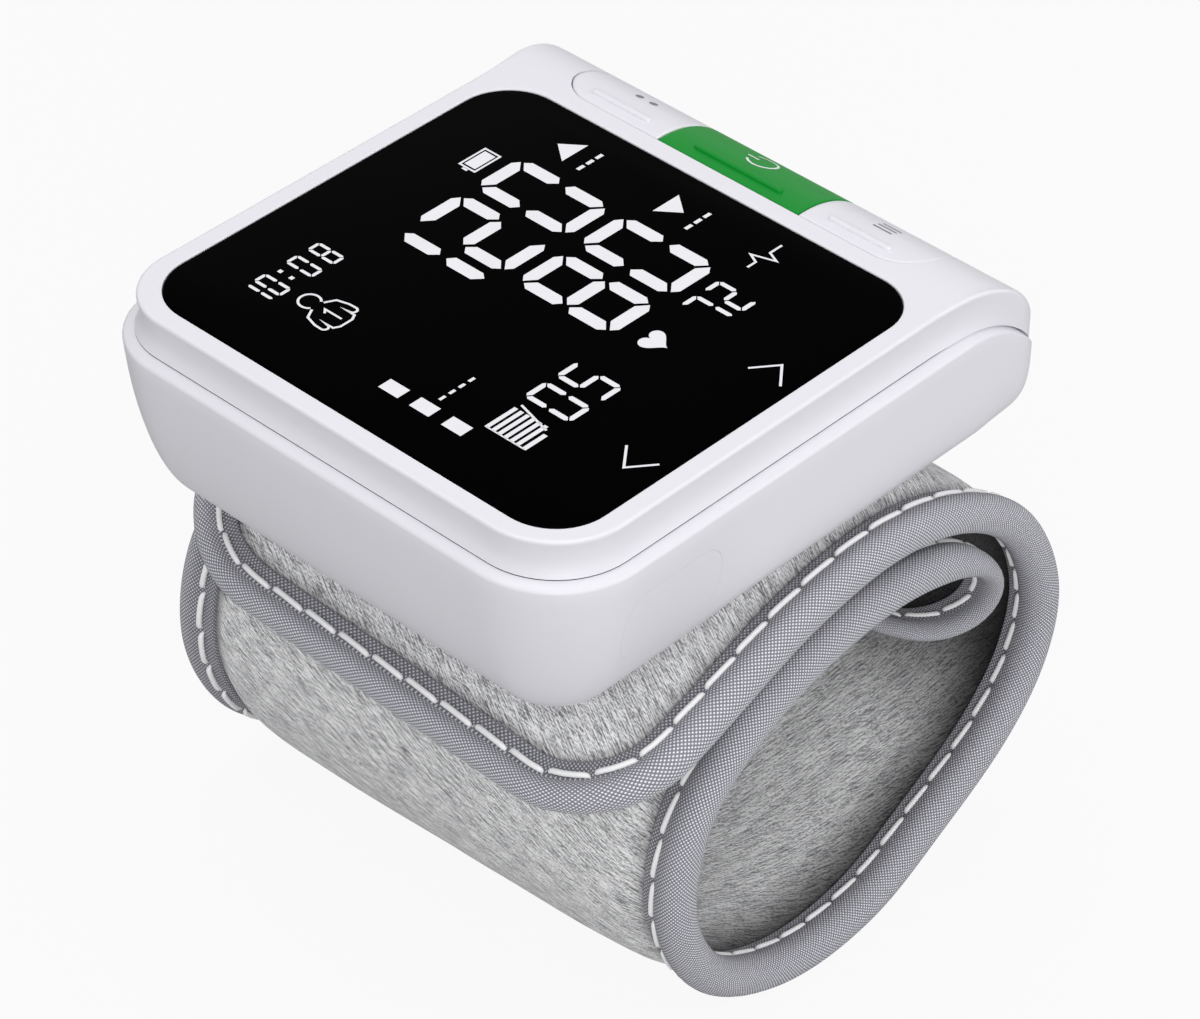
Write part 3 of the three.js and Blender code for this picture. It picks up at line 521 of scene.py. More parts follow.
# Insets and heights of the window's opening, up to its rounded edge
OPENING = [(0.0, -1.2), (0.0, -0.12), (-0.04, -0.03)]
OPENING_ROUND = 0.14
cover_spots = outline_spots(
    -COVER_LEFT, COVER_RIGHT, -COVER_HALF_Y, COVER_HALF_Y, COVER_CORNERS, *OUTLINE_STEPS)
cover_spots = [
    (cx, cy + math.copysign(SHOULDER_SWELL * smooth_share(cx + dx * r, *SWELL_X), cy), dx, dy, r)
    for cx, cy, dx, dy, r in cover_spots]
window_spots = outline_spots(
    -WINDOW_HALF_X, WINDOW_HALF_X, -WINDOW_HALF_Y, WINDOW_HALF_Y, WINDOW_CORNERS, *OUTLINE_STEPS)


def shoulder_height(x):
    """Height of the top: flat, then a quarter round down the shoulder."""
    if x <= SHOULDER_X:
        return 0.0
    reach = min((x - SHOULDER_X) / SHOULDER_R, 1)
    return -SHOULDER_R + SHOULDER_R * math.sqrt(1 - reach * reach)


def unrolled(x):
    """Distance along the top from the middle, over the shoulder."""
    if x <= SHOULDER_X:
        return x
    return SHOULDER_X + SHOULDER_R * math.asin(min((x - SHOULDER_X) / SHOULDER_R, 1))


def rolled(u):
    """The place on the top at that distance, and the way the surface faces."""
    if u <= SHOULDER_X:
        return Vector((u, 0, 0)), Vector((0, 0, 1))
    turn = (u - SHOULDER_X) / SHOULDER_R
    up = Vector((math.sin(turn), 0, math.cos(turn)))
    return Vector((SHOULDER_X, 0, -SHOULDER_R)) + up * SHOULDER_R, up


edge_rows = []
for cx, cy, dx, dy, radius in cover_spots:
    rim_x = cx + dx * radius
    rim = Vector((rim_x, cy + dy * radius, shoulder_height(rim_x)))
    _, up = rolled(unrolled(rim_x))
    out = Vector((dx, dy, 0))
    lean = out.dot(up)
    inward = (up * lean - out).normalized() if abs(lean) < 0.999 else Vector((0, 0, 1))
    angle = math.acos(min(max(lean, -1), 1))
    edge_r = EDGE_R + EDGE_GROWTH * smooth_share(rim_x, *SHOULDER_END_X)
    wall_height = rim.z - seam_height(rim_x)
    reach = min(edge_r * math.tan(angle / 2), wall_height * EDGE_LIMIT_SHARE)
    start = rim + inward * reach
    if SHOULDER_X < rim_x and start.x < COVER_RIGHT:
        start.z = shoulder_height(start.x)
    end = rim + Vector((0, 0, -1)) * reach
    edge_rows.append((start, rim, end, out, rim_x))

rows = [
    [place(x, y, z) for x, y in inset_line(window_spots, inset)]
    for inset, z in OPENING]
window_edge = [Vector((x, y, 0)) for x, y in inset_line(window_spots, -OPENING_ROUND)]
rows.append([place(*spot) for spot in window_edge])
for i in range(1, TOP_STEPS + 1):
    share = i / TOP_STEPS
    places = []
    for inner, (start, rim, end, out, rim_x) in zip(window_edge, edge_rows):
        reach = unrolled(start.x) if start.x > 0 else start.x
        spot, _ = rolled(inner.x + (reach - inner.x) * share)
        spot.y = inner.y + (start.y - inner.y) * share
        places.append(place(*spot))
    rows.append(places)
for share in EDGE_SHARES:
    rows.append([
        place(*(start * (1 - share) ** 2 + rim * 2 * share * (1 - share) + end * share ** 2))
        for start, rim, end, out, rim_x in edge_rows])
for share in WALL_SHARES:
    hollow = HOLLOW * math.sin(math.pi * min(share * 1.05, 1)) ** 0.8
    flare = FOOT_FLARE * max((share - FLARE_START_SHARE) / (1 - FLARE_START_SHARE), 0) ** 1.6
    places = []
    for start, rim, end, out, rim_x in edge_rows:
        spot = end - out * ((hollow - flare) * (1 - smooth_share(rim_x, *HOLLOW_END_X)))
        spot.z = end.z + (seam_height(rim_x) - end.z) * share
        places.append(place(*spot))
    rows.append(places)
cover = bmesh.new()
skin(cover, rows, start=False, end=False)
cover_shell = finish_mesh(cover, "cover_shell", white_plastic)
thicken(cover_shell, COVER_WALL)
slot_line = inset_line(outline_spots(
    SLOT_X0, SLOT_X1, -SLOT_HALF_Y, SLOT_HALF_Y, (SLOT_CORNER,) * 4, 14, 8, 40))
slot_tool = bmesh.new()
skin(slot_tool, [[place(x, y, z) for x, y in slot_line]
                 for z in (SLOT_CUT_TOP, SLOT_CUT_BOTTOM)])
cut_with(cover_shell, finish_mesh(slot_tool, "slot_tool", white_plastic), "DIFFERENCE")
smooth_again(cover_shell)
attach(cover_shell, "housing")
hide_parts("top_cover")

# Display window: a flat sheet of black gloss acrylic, let into the cover with a
# fine gap, with its edge lightly rounded.
GLASS_EDGE = [(0.1, -1.1), (0.1, -0.2), (0.13, -0.09), (0.2, -0.04), (0.32, -0.02)]
black_window, tree, shader = new_material("black_acrylic")
set_inputs(tree, shader, {
    "Base Color": (0.0002, 0.0002, 0.00025, 1), "Specular IOR Level": 0.006,
    "Roughness": spread(tree, mottle(tree, 60), 0.06, 0.1)})
glass = bmesh.new()
skin(glass, [
    [place(x, y, z) for x, y in inset_line(window_spots, inset)] for inset, z in GLASS_EDGE])
window_glass = finish_mesh(glass, "window_glass", black_window)
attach(window_glass, "housing")
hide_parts("display_window")

# Lit marks, a hair above the glass: seven-segment figures with ordinary readings
# and a few plain symbols, that glow a little unevenly.
lit_marks, tree, shader = new_material("lit_segments")
set_inputs(tree, shader, {
    "Base Color": (0.5, 0.5, 0.52, 1), "Roughness": 0.6,
    "Emission Color": (0.97, 0.97, 1.0, 1),
    "Emission Strength": spread(tree, mottle(tree, 320), 0.28, 0.36)})
marks = bmesh.new()


def on_glass(x, y):
    return place(x, y, 0.0)


def plate(points, mesh=marks, spot=on_glass):
    """A thin patch with the given outline."""
    mesh.faces.new(first_ring(mesh, [spot(x, y) for x, y in points]))


def block(x, y, width, height):
    """An oblong patch with its lower left corner at x, y."""
    plate([(x, y), (x + width, y), (x + width, y + height), (x, y + height)])


def stroke(points, width, closed=False, mesh=marks, spot=on_glass):
    """A line of even width through the points."""
    pairs = []
    count = len(points)
    for i, (x, y) in enumerate(points):
        before = points[i - 1] if i > 0 or closed else points[i]
        after = points[(i + 1) % count] if i < count - 1 or closed else points[i]
        one = Vector((x - before[0], y - before[1]))
        two = Vector((after[0] - x, after[1] - y))
        one = one.normalized() if one.length else two.normalized()
        two = two.normalized() if two.length else one
        middle = (one + two).normalized()
        reach = width / 2 / max(middle.dot(one), 0.4)
        pairs.append((
            spot(x - middle.y * reach, y + middle.x * reach),
            spot(x + middle.y * reach, y - middle.x * reach)))
    if closed:
        pairs.append(pairs[0])
    ring = [mesh.verts.new(corner) for corner in pairs[0]]
    mesh.edges.new(ring)
    for pair in pairs[1:]:
        ring = next_ring(mesh, ring, pair, closed=False)


# Each segment's outline, and whether that is turned left to right and upside down
SEGMENTS = {
    "a": ("a", False, False), "b": ("f", True, False), "c": ("f", True, True),
    "d": ("a", False, True), "e": ("f", False, True), "f": ("f", False, False),
    "g": ("g", False, False),
}
LIT = {
    "0": "abcdef", "1": "bc", "2": "abdeg", "5": "acdfg", "7": "abc", "8": "abcdefg",
}


def figure(digit, x, y, width, height, bar):
    """One seven-segment figure with its lower left corner at x, y."""
    wide, half = width / bar, height / 2 / bar
    outlines = {
        "a": [(0.96, 0), (wide - 0.96, 0), (wide - 0.45, 0.38), (wide - 1.2, 1), (1.25, 1),
              (0.5, 0.38)],
        "f": [(0, 1.05), (0.38, 0.6), (1.03, 1.2), (1.03, half - 0.85), (0.5, half - 0.3),
              (0, half - 0.7)],
        "g": [(0.6, half), (1.12, half - 0.5), (wide - 1.12, half - 0.5), (wide - 0.6, half),
              (wide - 1.12, half + 0.5), (1.12, half + 0.5)],
    }
    for segment in LIT[digit]:
        name, turned, upside_down = SEGMENTS[segment]
        plate([
            (x + bar * (wide - px if turned else px), y + bar * (py if upside_down else 2 * half - py))
            for px, py in outlines[name]])


# Figures with their left edges, then lower edge, width, height and bar of each row
for row, y, width, height, bar in [
        ([("1", -8.8), ("2", 0.64), ("0", 10.43)], 4.93, 8.15, 14.6, 1.75),
        ([("8", 0.5), ("0", 10.36)], -11.3, 8.15, 14.6, 1.75),
        ([("7", 10.1), ("2", 13.85)], -18.85, 2.8, 5.9, 0.6),
        ([("0", -13.7), ("5", -8.75)], -18.85, 3.7, 6.9, 0.68),
        ([("1", -22.1), ("0", -19.45), ("0", -14.55), ("8", -11.2)], 19.9, 2.0, 4.3, 0.42)]:
    for digit, x in row:
        figure(digit, x, y, width, height, bar)
for y in (21.2, 23.0):
    block(-16.35, y, 0.55, 0.55)
for y in (-2.55, -7.25, -12.1):
    block(-23.35, y, 1.95, 2.95)


def arc_points(cx, cy, radius, start, end, steps):
    turns = [math.radians(start + (end - start) * i / steps) for i in range(steps + 1)]
    return [(cx + radius * math.cos(turn), cy + radius * math.sin(turn)) for turn in turns]


# User symbol, battery symbol, heart, note sheet and the two arrow signs
stroke(arc_points(-17.7, 16.9, 1.3, -50, 230, 22), 0.3)
stroke([(-18.6, 15.6), (-19.9, 14.9), (-20.35, 13.4), (-20.4, 12.3)]
       + arc_points(-19.9, 12.3, 0.5, 180, 360, 6)
       + [(-19.3, 13.4), (-19.35, 11.5), (-18.6, 11.1), (-16.8, 11.1), (-16.05, 11.5), (-16.1, 13.4)]
       + [(-16.0, 12.3)] + arc_points(-15.5, 12.3, 0.5, 180, 360, 6)
       + [(-15.05, 13.4), (-15.5, 14.9), (-16.8, 15.6)], 0.3)
stroke([(-18.1, 14.1), (-17.55, 14.6), (-17.55, 12.0)], 0.28)
stroke([(12.7, 23.7), (16.9, 23.7), (16.9, 21.3), (12.7, 21.3)], 0.28, closed=True)
block(12.15, 22.1, 0.35, 0.8)
block(13.1, 21.65, 3.4, 1.7)
HEART_X, HEART_Y, HEART_SCALE = 3.4, -15.45, 0.115
heart = []
for i in range(40):
    turn = 2 * math.pi * i / 40
    heart.append((
        HEART_X + HEART_SCALE * 16 * math.sin(turn) ** 3,
        HEART_Y + HEART_SCALE * (13 * math.cos(turn) - 5 * math.cos(2 * turn)
                                 - 2 * math.cos(3 * turn) - math.cos(4 * turn))))
plate(heart)
block(-20.3, -18.8, 3.4, 0.6)
for y in (-17.75, -16.85, -15.95, -15.05, -14.15, -13.25):
    block(-20.3, y, 4.6, 0.55)
stroke([(-20.25, -18.6), (-20.25, -12.75)], 0.22)
stroke([(-16.3, -18.0), (-14.95, -13.0)], 0.3)
stroke([(-12.2, -25.9), (-15.2, -28.3), (-12.2, -30.65)], 0.3)
stroke([(6.85, -26.1), (9.8, -28.4), (6.85, -30.8)], 0.3)
# Plain signs for the three rows: upper, lower and pulse
plate([(21.2, 15.6), (25.6, 15.6), (23.4, 18.4)])
for x in (21.2, 22.75, 24.3):
    block(x, 12.9, 1.1, 0.5)
plate([(21.2, 1.4), (23.4, -1.4), (25.6, 1.4)])
for x in (21.2, 22.75, 24.3):
    block(x, -3.9, 1.1, 0.5)
stroke([(20.6, -13.6), (22.0, -13.6), (22.7, -12.2), (23.7, -15.2), (24.4, -13.6), (26.4, -13.6)], 0.3)
for x in (-20.4, -18.9, -17.4, -15.9):
    block(x, -6.2, 0.9, 0.4)
display_marks = finish_mesh(marks, "display_marks", lit_marks, flip_out=False)
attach(display_marks, "housing")

# Buttons: three caps moulded to the shoulder's curve, white, green and white,
# each with a raised rib to feel for and a plain printed sign.
CAP_GAP = 0.13
CAP_SPLIT = 10.85
CAP_CORNER = 0.3
# Insets and drops of a cap's rings, from its hidden foot up to its face
CAP_EDGE = [(0.0, 2.2), (0.0, 0.3), (0.03, 0.16), (0.09, 0.07), (0.18, 0.02)]
CAP_EDGE += [(inset, 0.0) for inset in (0.3, 0.6, 1.0, 1.6, 2.3, 3.0, 3.8, 4.6, 5.3, 5.7)]
RIB_X = 34.2
RIB_R = 0.45
RIB_Y = 18.4
# Insets and heights of a rib's rings
RIB_EDGE = [(0.0, -0.5), (0.0, 0.14), (0.05, 0.27), (0.14, 0.36), (0.28, 0.4), (0.4, 0.4)]
PRINT_LIFT = 0.025
SIGN_U = 38.6
SIGN_LINE = 0.32
green_plastic = fine_finish(
    "green_moulded_plastic", (0.003, 0.27, 0.028), (0.003, 0.24, 0.024), 0.42,
    more={"Specular IOR Level": 0.15})
button_white = fine_finish("cap_moulded_plastic", (0.80, 0.79, 0.835), (0.78, 0.77, 0.815), 0.36)
dark_print = fine_finish("dark_print", (0.23, 0.23, 0.25), (0.17, 0.17, 0.19), 0.6, 0.15)
white_print = fine_finish("white_print", (0.86, 0.88, 0.86), (0.8, 0.83, 0.8), 0.6, 0.15)


def raised(u, y, lift):
    """A place above the top's skin, at a distance along its curve."""
    spot, up = rolled(u)
    spot = spot + up * lift
    return place(spot.x, y, spot.z)


def printed(u, y):
    return raised(u, y, PRINT_LIFT)


def make_cap(name, y0, y1, radii, rib_y, rib_length, paint):
    rows = []
    for inset, drop in CAP_EDGE:
        edge = CAP_GAP + inset
        outline = inset_line(outline_spots(
            SLOT_X0 + edge, SLOT_X1 - edge, y0 + edge, y1 - edge,
            tuple(max(radius - edge, 0.12) for radius in radii), 8, 16, 16))
        rows.append([place(x, y, shoulder_height(x) - drop) for x, y in outline])
    crest = (SLOT_X0 + SLOT_X1) / 2
    rows.append([place(crest, y, shoulder_height(crest)) for x, y in outline])
    cap = bmesh.new()
    skin(cap, rows, end=False)
    rows = []
    for inset, lift in RIB_EDGE:
        outline = inset_line(outline_spots(
            RIB_X - RIB_R + inset, RIB_X + RIB_R - inset,
            rib_y - rib_length / 2 + inset, rib_y + rib_length / 2 - inset,
            (RIB_R - inset,) * 4, 6, 1, 12))
        rows.append([raised(unrolled(x), y, lift) for x, y in outline])
    skin(cap, rows)
    piece = finish_mesh(cap, name + "_cap", paint)
    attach(piece, name)
    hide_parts(name)


def make_sign(name, body, paint, lines, patches=()):
    sign = bmesh.new()
    for points in lines:
        stroke(points, SIGN_LINE, mesh=sign, spot=printed)
    for points in patches:
        plate(points, mesh=sign, spot=printed)
    piece = finish_mesh(sign, name, paint, flip_out=False)
    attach(piece, body)


make_cap(
    "memory_button", -SLOT_HALF_Y, -CAP_SPLIT + CAP_GAP / 2,
    (CAP_CORNER, CAP_CORNER, SLOT_CORNER, SLOT_CORNER), -RIB_Y, 9.2, button_white)
make_cap(
    "start_button", -CAP_SPLIT - CAP_GAP / 2, CAP_SPLIT + CAP_GAP / 2,
    (CAP_CORNER,) * 4, 0.0, 13.4, green_plastic)
make_cap(
    "user_button", CAP_SPLIT - CAP_GAP / 2, SLOT_HALF_Y,
    (SLOT_CORNER, SLOT_CORNER, CAP_CORNER, CAP_CORNER), RIB_Y, 9.2, button_white)
make_sign("memory_sign", "memory_button", dark_print, [
    [(SIGN_U + step, -20.3), (SIGN_U + step, -17.6)] for step in (-1.0, 0.0, 1.0)])
make_sign("start_sign", "start_button", white_print, [
    [(SIGN_U + 1.9 * math.sin(math.radians(a)), 1.9 * math.cos(math.radians(a)))
     for a in range(36, 325, 12)],
    [(SIGN_U, 0.6), (SIGN_U, 2.3)]])
make_sign("user_sign", "user_button", dark_print, [], [
    arc_points(SIGN_U, y, 0.55, 0, 348, 20) for y in (19.4, 17.2)])

# Cuff: one long padded strip of brushed grey knit over a curler sheet and an air
# bladder. It is modelled flat, s along it and y across, and then rolled up along
# the coil's centre line. The inside of its curled tail is painted near-black as
# painted shade.
COIL_SHARES = [
    (-0.242, 0.739), (0.048, 0.855), (0.318, 0.968), (0.541, 1.0), (0.748, 0.945),
    (0.921, 0.797), (1.012, 0.562), (0.985, 0.387), (0.893, 0.25), (0.709, 0.113),
    (0.527, 0.013), (0.305, 0.011), (0.097, 0.142), (-0.002, 0.388), (0.038, 0.633),
    (0.175, 0.771), (0.374, 0.853), (0.589, 0.868), (0.76, 0.812), (0.862, 0.70),
    (0.85, 0.62), (0.755, 0.578), (0.625, 0.635),
]
LOOP_WIDTH = 62.5
LOOP_HEIGHT = 55.1
LOOP_MIDDLE_X = 16.35
LOOP_TOP = 25.7
STRAP_HALF_Y = 39.2
STRAP_CORNER = 20.0
NEAR_CORNER = 15.0
FAR_WIDER = 3.8
NEAR_LONGER = 0.4
FAR_LONGER = 1.8
TAIL_THINNER = 0.48
LONGER_S = (4, 40)
# Stretches along the strap, each with where it begins and where it ends
WIDER_S = (115, 160), (205, 240)
HELD_DOWN_S = (6, 26), (100, 125)
THINNED_S = (50, 68), (100, 120)
# The last stretch is where the inner face is painted darker, as painted shade in the coil's throat
THROAT_PAINTED_SHADE_S = (40, 62), (100, 122)
FLOOR_SOFT = 0.6 * MM
JOIN_Z = -69.0
STATION = 0.5
CURVE_STEPS = 30
SMOOTHINGS = 14
coil_marks = [Vector((
    LOOP_MIDDLE_X + (x - 0.5) * LOOP_WIDTH, 0, -LOOP_TOP - LOOP_HEIGHT + z * LOOP_HEIGHT))
    for x, z in COIL_SHARES]
before_start = coil_marks[0] * 2 - coil_marks[1]
after_end = coil_marks[-1] * 2 - coil_marks[-2]
coil_marks = [before_start] + coil_marks + [after_end]
coil_line = []
for i in range(len(coil_marks) - 3):
    a, b, c, d = coil_marks[i:i + 4]
    before, along, after = (b - a).length ** 0.5, (c - b).length ** 0.5, (d - c).length ** 0.5
    leave = ((b - a) / before - (c - a) / (before + along) + (c - b) / along) * along
    arrive = ((c - b) / along - (d - b) / (along + after) + (d - c) / after) * along
    for k in range(CURVE_STEPS):
        t = k / CURVE_STEPS
        coil_line.append(b + leave * t + ((c - b) * 3 - leave * 2 - arrive) * t * t
                         + ((b - c) * 2 + leave + arrive) * t ** 3)
coil_line.append(coil_marks[-2].copy())
gone = [0.0]
for one, two in zip(coil_line, coil_line[1:]):
    gone.append(gone[-1] + (two - one).length)
COIL_LENGTH = gone[-1]
TAIL_S = (COIL_LENGTH - 36, COIL_LENGTH - 16)
stations = []
k = 0
for i in range(int(COIL_LENGTH / STATION) + 1):
    while k < len(gone) - 2 and gone[k + 1] < i * STATION:
        k += 1
    stations.append(coil_line[k].lerp(
        coil_line[k + 1], (i * STATION - gone[k]) / max(gone[k + 1] - gone[k], 1e-9)))
for _ in range(SMOOTHINGS):
    stations = [stations[0]] + [
        (stations[i - 1] + stations[i] * 2 + stations[i + 1]) / 4
        for i in range(1, len(stations) - 1)] + [stations[-1]]


def coil_frame(s):
    """The centre line's place and outward direction at a length along it."""
    at = min(max(s / STATION, 0), len(stations) - 1.001)
    i = int(at)
    spot = stations[i].lerp(stations[i + 1], at - i)

    def way(j):
        return (stations[min(j + 2, len(stations) - 1)] - stations[max(j - 2, 0)]).normalized()

    along = way(i).lerp(way(i + 1), at - i).normalized()
    spot = spot + along * ((s / STATION - at) * STATION)
    return spot, Vector((-along.z, 0, along.x))


def stretch(s, begins, ends):
    """1 on a stretch along the strap and 0 outside it, with soft ends."""
    return smooth_share(s, *begins) * (1 - smooth_share(s, *ends))


def roll_up(s, y, n):
    """Takes a place on the flat strap on to the coil. The far side is rolled a
    little wider than the near one, the tail is thinner, and the underside lies
    flat on what it rests on."""
    far = (y + STRAP_HALF_Y) / (2 * STRAP_HALF_Y)
    longer = (NEAR_LONGER + FAR_LONGER * far) * (1 - smooth_share(s, *LONGER_S))
    spot, up = coil_frame(s + longer)
    n *= 1 - TAIL_THINNER * smooth_share(s, *TAIL_S)
    wider = FAR_WIDER * far * stretch(s, *WIDER_S)
    made = place(spot.x + up.x * n - wider, y, spot.z + up.z * n)
    if made.z < FLOOR_SOFT:
        made.z = FLOOR_SOFT * math.exp(made.z / FLOOR_SOFT - 1)
    return made


hinge = max(range(len(stations)), key=lambda i: stations[i].x)
JOIN_S = next(i for i in range(hinge, len(stations)) if stations[i].z < JOIN_Z) * STATION
PAD_INSET = 5.3
PAD_HALF_Y = STRAP_HALF_Y - PAD_INSET
PAD_COLUMN = 1.1
PAD_ROWS = 56
# How much the pad's grid crowds towards its long edges
CROWDING = 0.35
PAD_EDGE_HEIGHT = 0.6
CROWN, CROWN_REACH = 1.55, 2.4
PUFF, PUFF_REACH = 0.55, 9
THINNED = 0.26
# Heights of the soft and the fine puckers
OUTER_PUCKERS = (0.14, 0.05)
INNER_PUCKERS = (0.16, 0.09)
PUCKER_REACH = 5
# How much the inner face is darkened in the coil's throat, as painted shade
THROAT_PAINTED_SHADE = 0.84
# Length of the tail whose inner face is painted near-black as painted shade
TAIL_SHADE_LENGTH = 47


def pad_corner(s, y):
    """The pad's corner radius, less at the near corner of the free end."""
    return (NEAR_CORNER if s < COIL_LENGTH / 2 and y < 0 else STRAP_CORNER) - PAD_INSET


def pad_depth(s, y):
    """How far a place on the flat strap lies inside the pad's outline."""
    corner = pad_corner(s, y)
    qx = abs(s - COIL_LENGTH / 2) - (COIL_LENGTH / 2 - PAD_INSET - corner)
    qy = abs(y) - (PAD_HALF_Y - corner)
    outside = math.hypot(max(qx, 0), max(qy, 0)) + min(max(qx, qy), 0)
    return corner - outside


def pad_height(s, y, outer):
    """Half thickness of the quilted pad, crowned inside its sewn edge."""
    depth = max(pad_depth(s, y), 0)
    height = PAD_EDGE_HEIGHT + CROWN * (1 - math.exp(-(depth / CROWN_REACH) ** 1.3))
    soft = noise.noise(Vector((s * 0.045, y * 0.07, 3 if outer else 9)))
    fine = noise.noise(Vector((s * 0.22 + y * 0.1, y * 0.09, 5 if outer else 14)))
    soft_height, fine_height = OUTER_PUCKERS if outer else INNER_PUCKERS
    puckers = (soft_height * soft + fine_height * fine) * min(depth / PUCKER_REACH, 1)
    if outer:
        # Under the housing the pad is held down, and towards the bend it gets thinner
        free = 1 - stretch(s, *HELD_DOWN_S)
        height *= 1 - THINNED * stretch(s, *THINNED_S)
        height += free * PUFF * (1 - math.exp(-(depth / PUFF_REACH) ** 2))
        puckers *= 0.25 + 0.75 * free
    return height + puckers


def add_ramp(tree, value, low, dark, high, light):
    """Turns a value into a colour, dark up to low and light from high on."""
    node = tree.nodes.new("ShaderNodeValToRGB")
    for element, position, colour in zip(node.color_ramp.elements, (low, high), (dark, light)):
        element.position = position
        element.color = (*colour, 1)
    set_inputs(tree, node, {"Fac": value})
    return node.outputs["Color"]


def ease(tree, value, from_low, from_high, to_low, to_high):
    return add_node(tree, "MapRange", {
        "Value": value, "From Min": from_low, "From Max": from_high,
        "To Min": to_low, "To Max": to_high}, interpolation_type="SMOOTHSTEP")["Result"]


def knit(name, turn, speckle, valley, light, dark):
    """Brushed heather knit: short streaks of pale and dark fibre that lie one
    way, over soft mottling, with the fibres raised a little. Towards the seam,
    over so many millimetres, its colour is darkened as painted shade for the
    valley there, and the edge map's second value darkens it again as painted shade."""
    made, tree, shader = new_material(name)
    flat = add_node(tree, "UVMap", uv_map="flat")["UV"]
    sides = add_node(tree, "SeparateXYZ", {
        "Vector": add_node(tree, "UVMap", uv_map="edge")["UV"]})

    def fibres(angle, along, across):
        turned = add_node(tree, "Mapping", {
            "Vector": flat, "Rotation": (0, 0, math.radians(angle)), "Scale": (along, across, 1)},
            vector_type="TEXTURE")["Vector"]
        return mottle(tree, 1.0, spot=turned, roughness=0.6)

    def weigh(one, two, share):
        return add_node(tree, "Mix", {"Factor": share, 2: one, 3: two})[0]

    lines = weigh(fibres(turn, 3.0, 0.16), fibres(turn + 24, 1.7, 0.15), 0.42)
    grain = fibres(turn, 0.36, 0.24)
    tone = weigh(weigh(lines, grain, speckle), fibres(turn, 6.0, 2.4), 0.08)
    # Painted shade: darker towards the pad's sewn edge, where the valley falls into shadow
    painted_valley_shade = ease(tree, sides["X"], 0.0, valley[0], valley[1], 1.0)
    # The edge map's second value carries the painted shade in the coil's throat
    shade = reckon(tree, "MULTIPLY", painted_valley_shade, sides["Y"])
    colour = add_ramp(tree, tone, 0.43, dark, 0.55, light)
    set_inputs(tree, shader, {
        "Base Color": mix_colours(tree, 1.0, colour, shade, "MULTIPLY"), "Roughness": 0.95,
        "Specular IOR Level": 0.15, "Sheen Weight": 0.2, "Sheen Roughness": 0.5})
    add_bump(tree, shader, weigh(lines, grain, 0.5), 0.6, 0.00016)
    return made


# The valley numbers give the reach in millimetres and the darkest share of the painted seam shade
outer_knit = knit(
    "heather_knit_outside", 62, 0.24, (2.6, 0.45), (1.0, 1.0, 1.0), (0.2, 0.2, 0.21))
inner_knit = knit(
    "heather_knit_inside", 20, 0.28, (7.5, 0.1), (1.0, 1.0, 1.0), (0.24, 0.24, 0.25))
# Near-black knit, painted shade for the inside of the curled tail
tail_painted_shade = knit(
    "tail_painted_shade", 84, 0.6, (3.0, 0.5), (0.05, 0.05, 0.053), (0.012, 0.012, 0.013))


def flat_to_uv(mesh, tag):
    """Copies each point's place on the flat strap to the UV map."""
    layer = mesh.loops.layers.uv.new("flat")
    for face in mesh.faces:
        for loop in face.loops:
            loop[layer].uv = loop.vert[tag].xy


def make_pad(name, low_s, high_s):
    """The pad between two lengths along the strap, as a closed form."""
    pad = bmesh.new()
    tag = pad.verts.layers.float_vector.new("flat_place")
    start, end = PAD_INSET, COIL_LENGTH - PAD_INSET
    low, high = max(low_s, start), min(high_s, end)
    columns = int((high - low) / PAD_COLUMN)
    bmesh.ops.create_grid(pad, x_segments=columns, y_segments=PAD_ROWS, size=1)
    for vertex in pad.verts:
        share = (vertex.co.x + 1) / 2
        if low == start:
            if share < 0.5:
                share -= 0.35 * math.sin(2 * math.pi * share) / (2 * math.pi)
            share = share ** 1.15
        elif high == end:
            share = 1 - (1 - share) ** 1.15
        s = low + (high - low) * share
        corner = pad_corner(s, vertex.co.y)
        into = min(s - start, end - s, corner)
        half = PAD_HALF_Y - corner + math.sqrt(max(corner ** 2 - (corner - into) ** 2, 0))
        edge = math.sin(vertex.co.y * math.pi / 2) * CROWDING + vertex.co.y * (1 - CROWDING)
        vertex[tag] = Vector((s, edge * half, 1))
    made = bmesh.ops.extrude_face_region(pad, geom=pad.faces[:])
    for item in made["geom"]:
        if isinstance(item, bmesh.types.BMVert):
            item[tag] = Vector((item[tag].x, item[tag].y, -1))
    for vertex in pad.verts:
        s, y, side = vertex[tag]
        vertex.co = roll_up(s, y, side * pad_height(s, y, side > 0))
    flat_to_uv(pad, tag)
    # The edge map holds the depth inside the pad's outline and the painted throat shade
    edge = pad.loops.layers.uv.new("edge")
    for face in pad.faces:
        for loop in face.loops:
            s, y, side = loop.vert[tag]
            # Painted shade: the inner face in the coil's throat is darkened
            dim = THROAT_PAINTED_SHADE * stretch(s, *THROAT_PAINTED_SHADE_S) if side < 0 else 0
            loop[edge].uv = (max(pad_depth(s, y), 0), 1 - dim)
        if all(vertex[tag].z < 0 for vertex in face.verts):
            # Inner faces near the tail get the near-black painted shade
            in_tail_shade = max(vertex[tag].x for vertex in face.verts) > COIL_LENGTH - TAIL_SHADE_LENGTH
            face.material_index = 2 if in_tail_shade else 1
    piece = finish_mesh(pad, name, outer_knit, sharp_from=60)
    piece.data.materials.append(inner_knit)
    piece.data.materials.append(tail_painted_shade)
    return piece


def follow_cuff(top, loop):
    """Bakes the top half's place into its mesh, and hangs the loop on the cuff's loop, so that it
    swings with it.
    """
    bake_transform(top)
    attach(loop, "cuff_loop")


top_pad = make_pad("cuff_pad_top", 0, JOIN_S)
loop_pad = make_pad("cuff_pad_loop", JOIN_S, COIL_LENGTH)
layers = ("outer_fabric", "inner_fabric", "curler", "bladder")
follow_cuff(top_pad, loop_pad)
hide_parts(*("cuff_top_" + layer for layer in layers))
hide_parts(*("cuff_loop_" + layer for layer in layers))

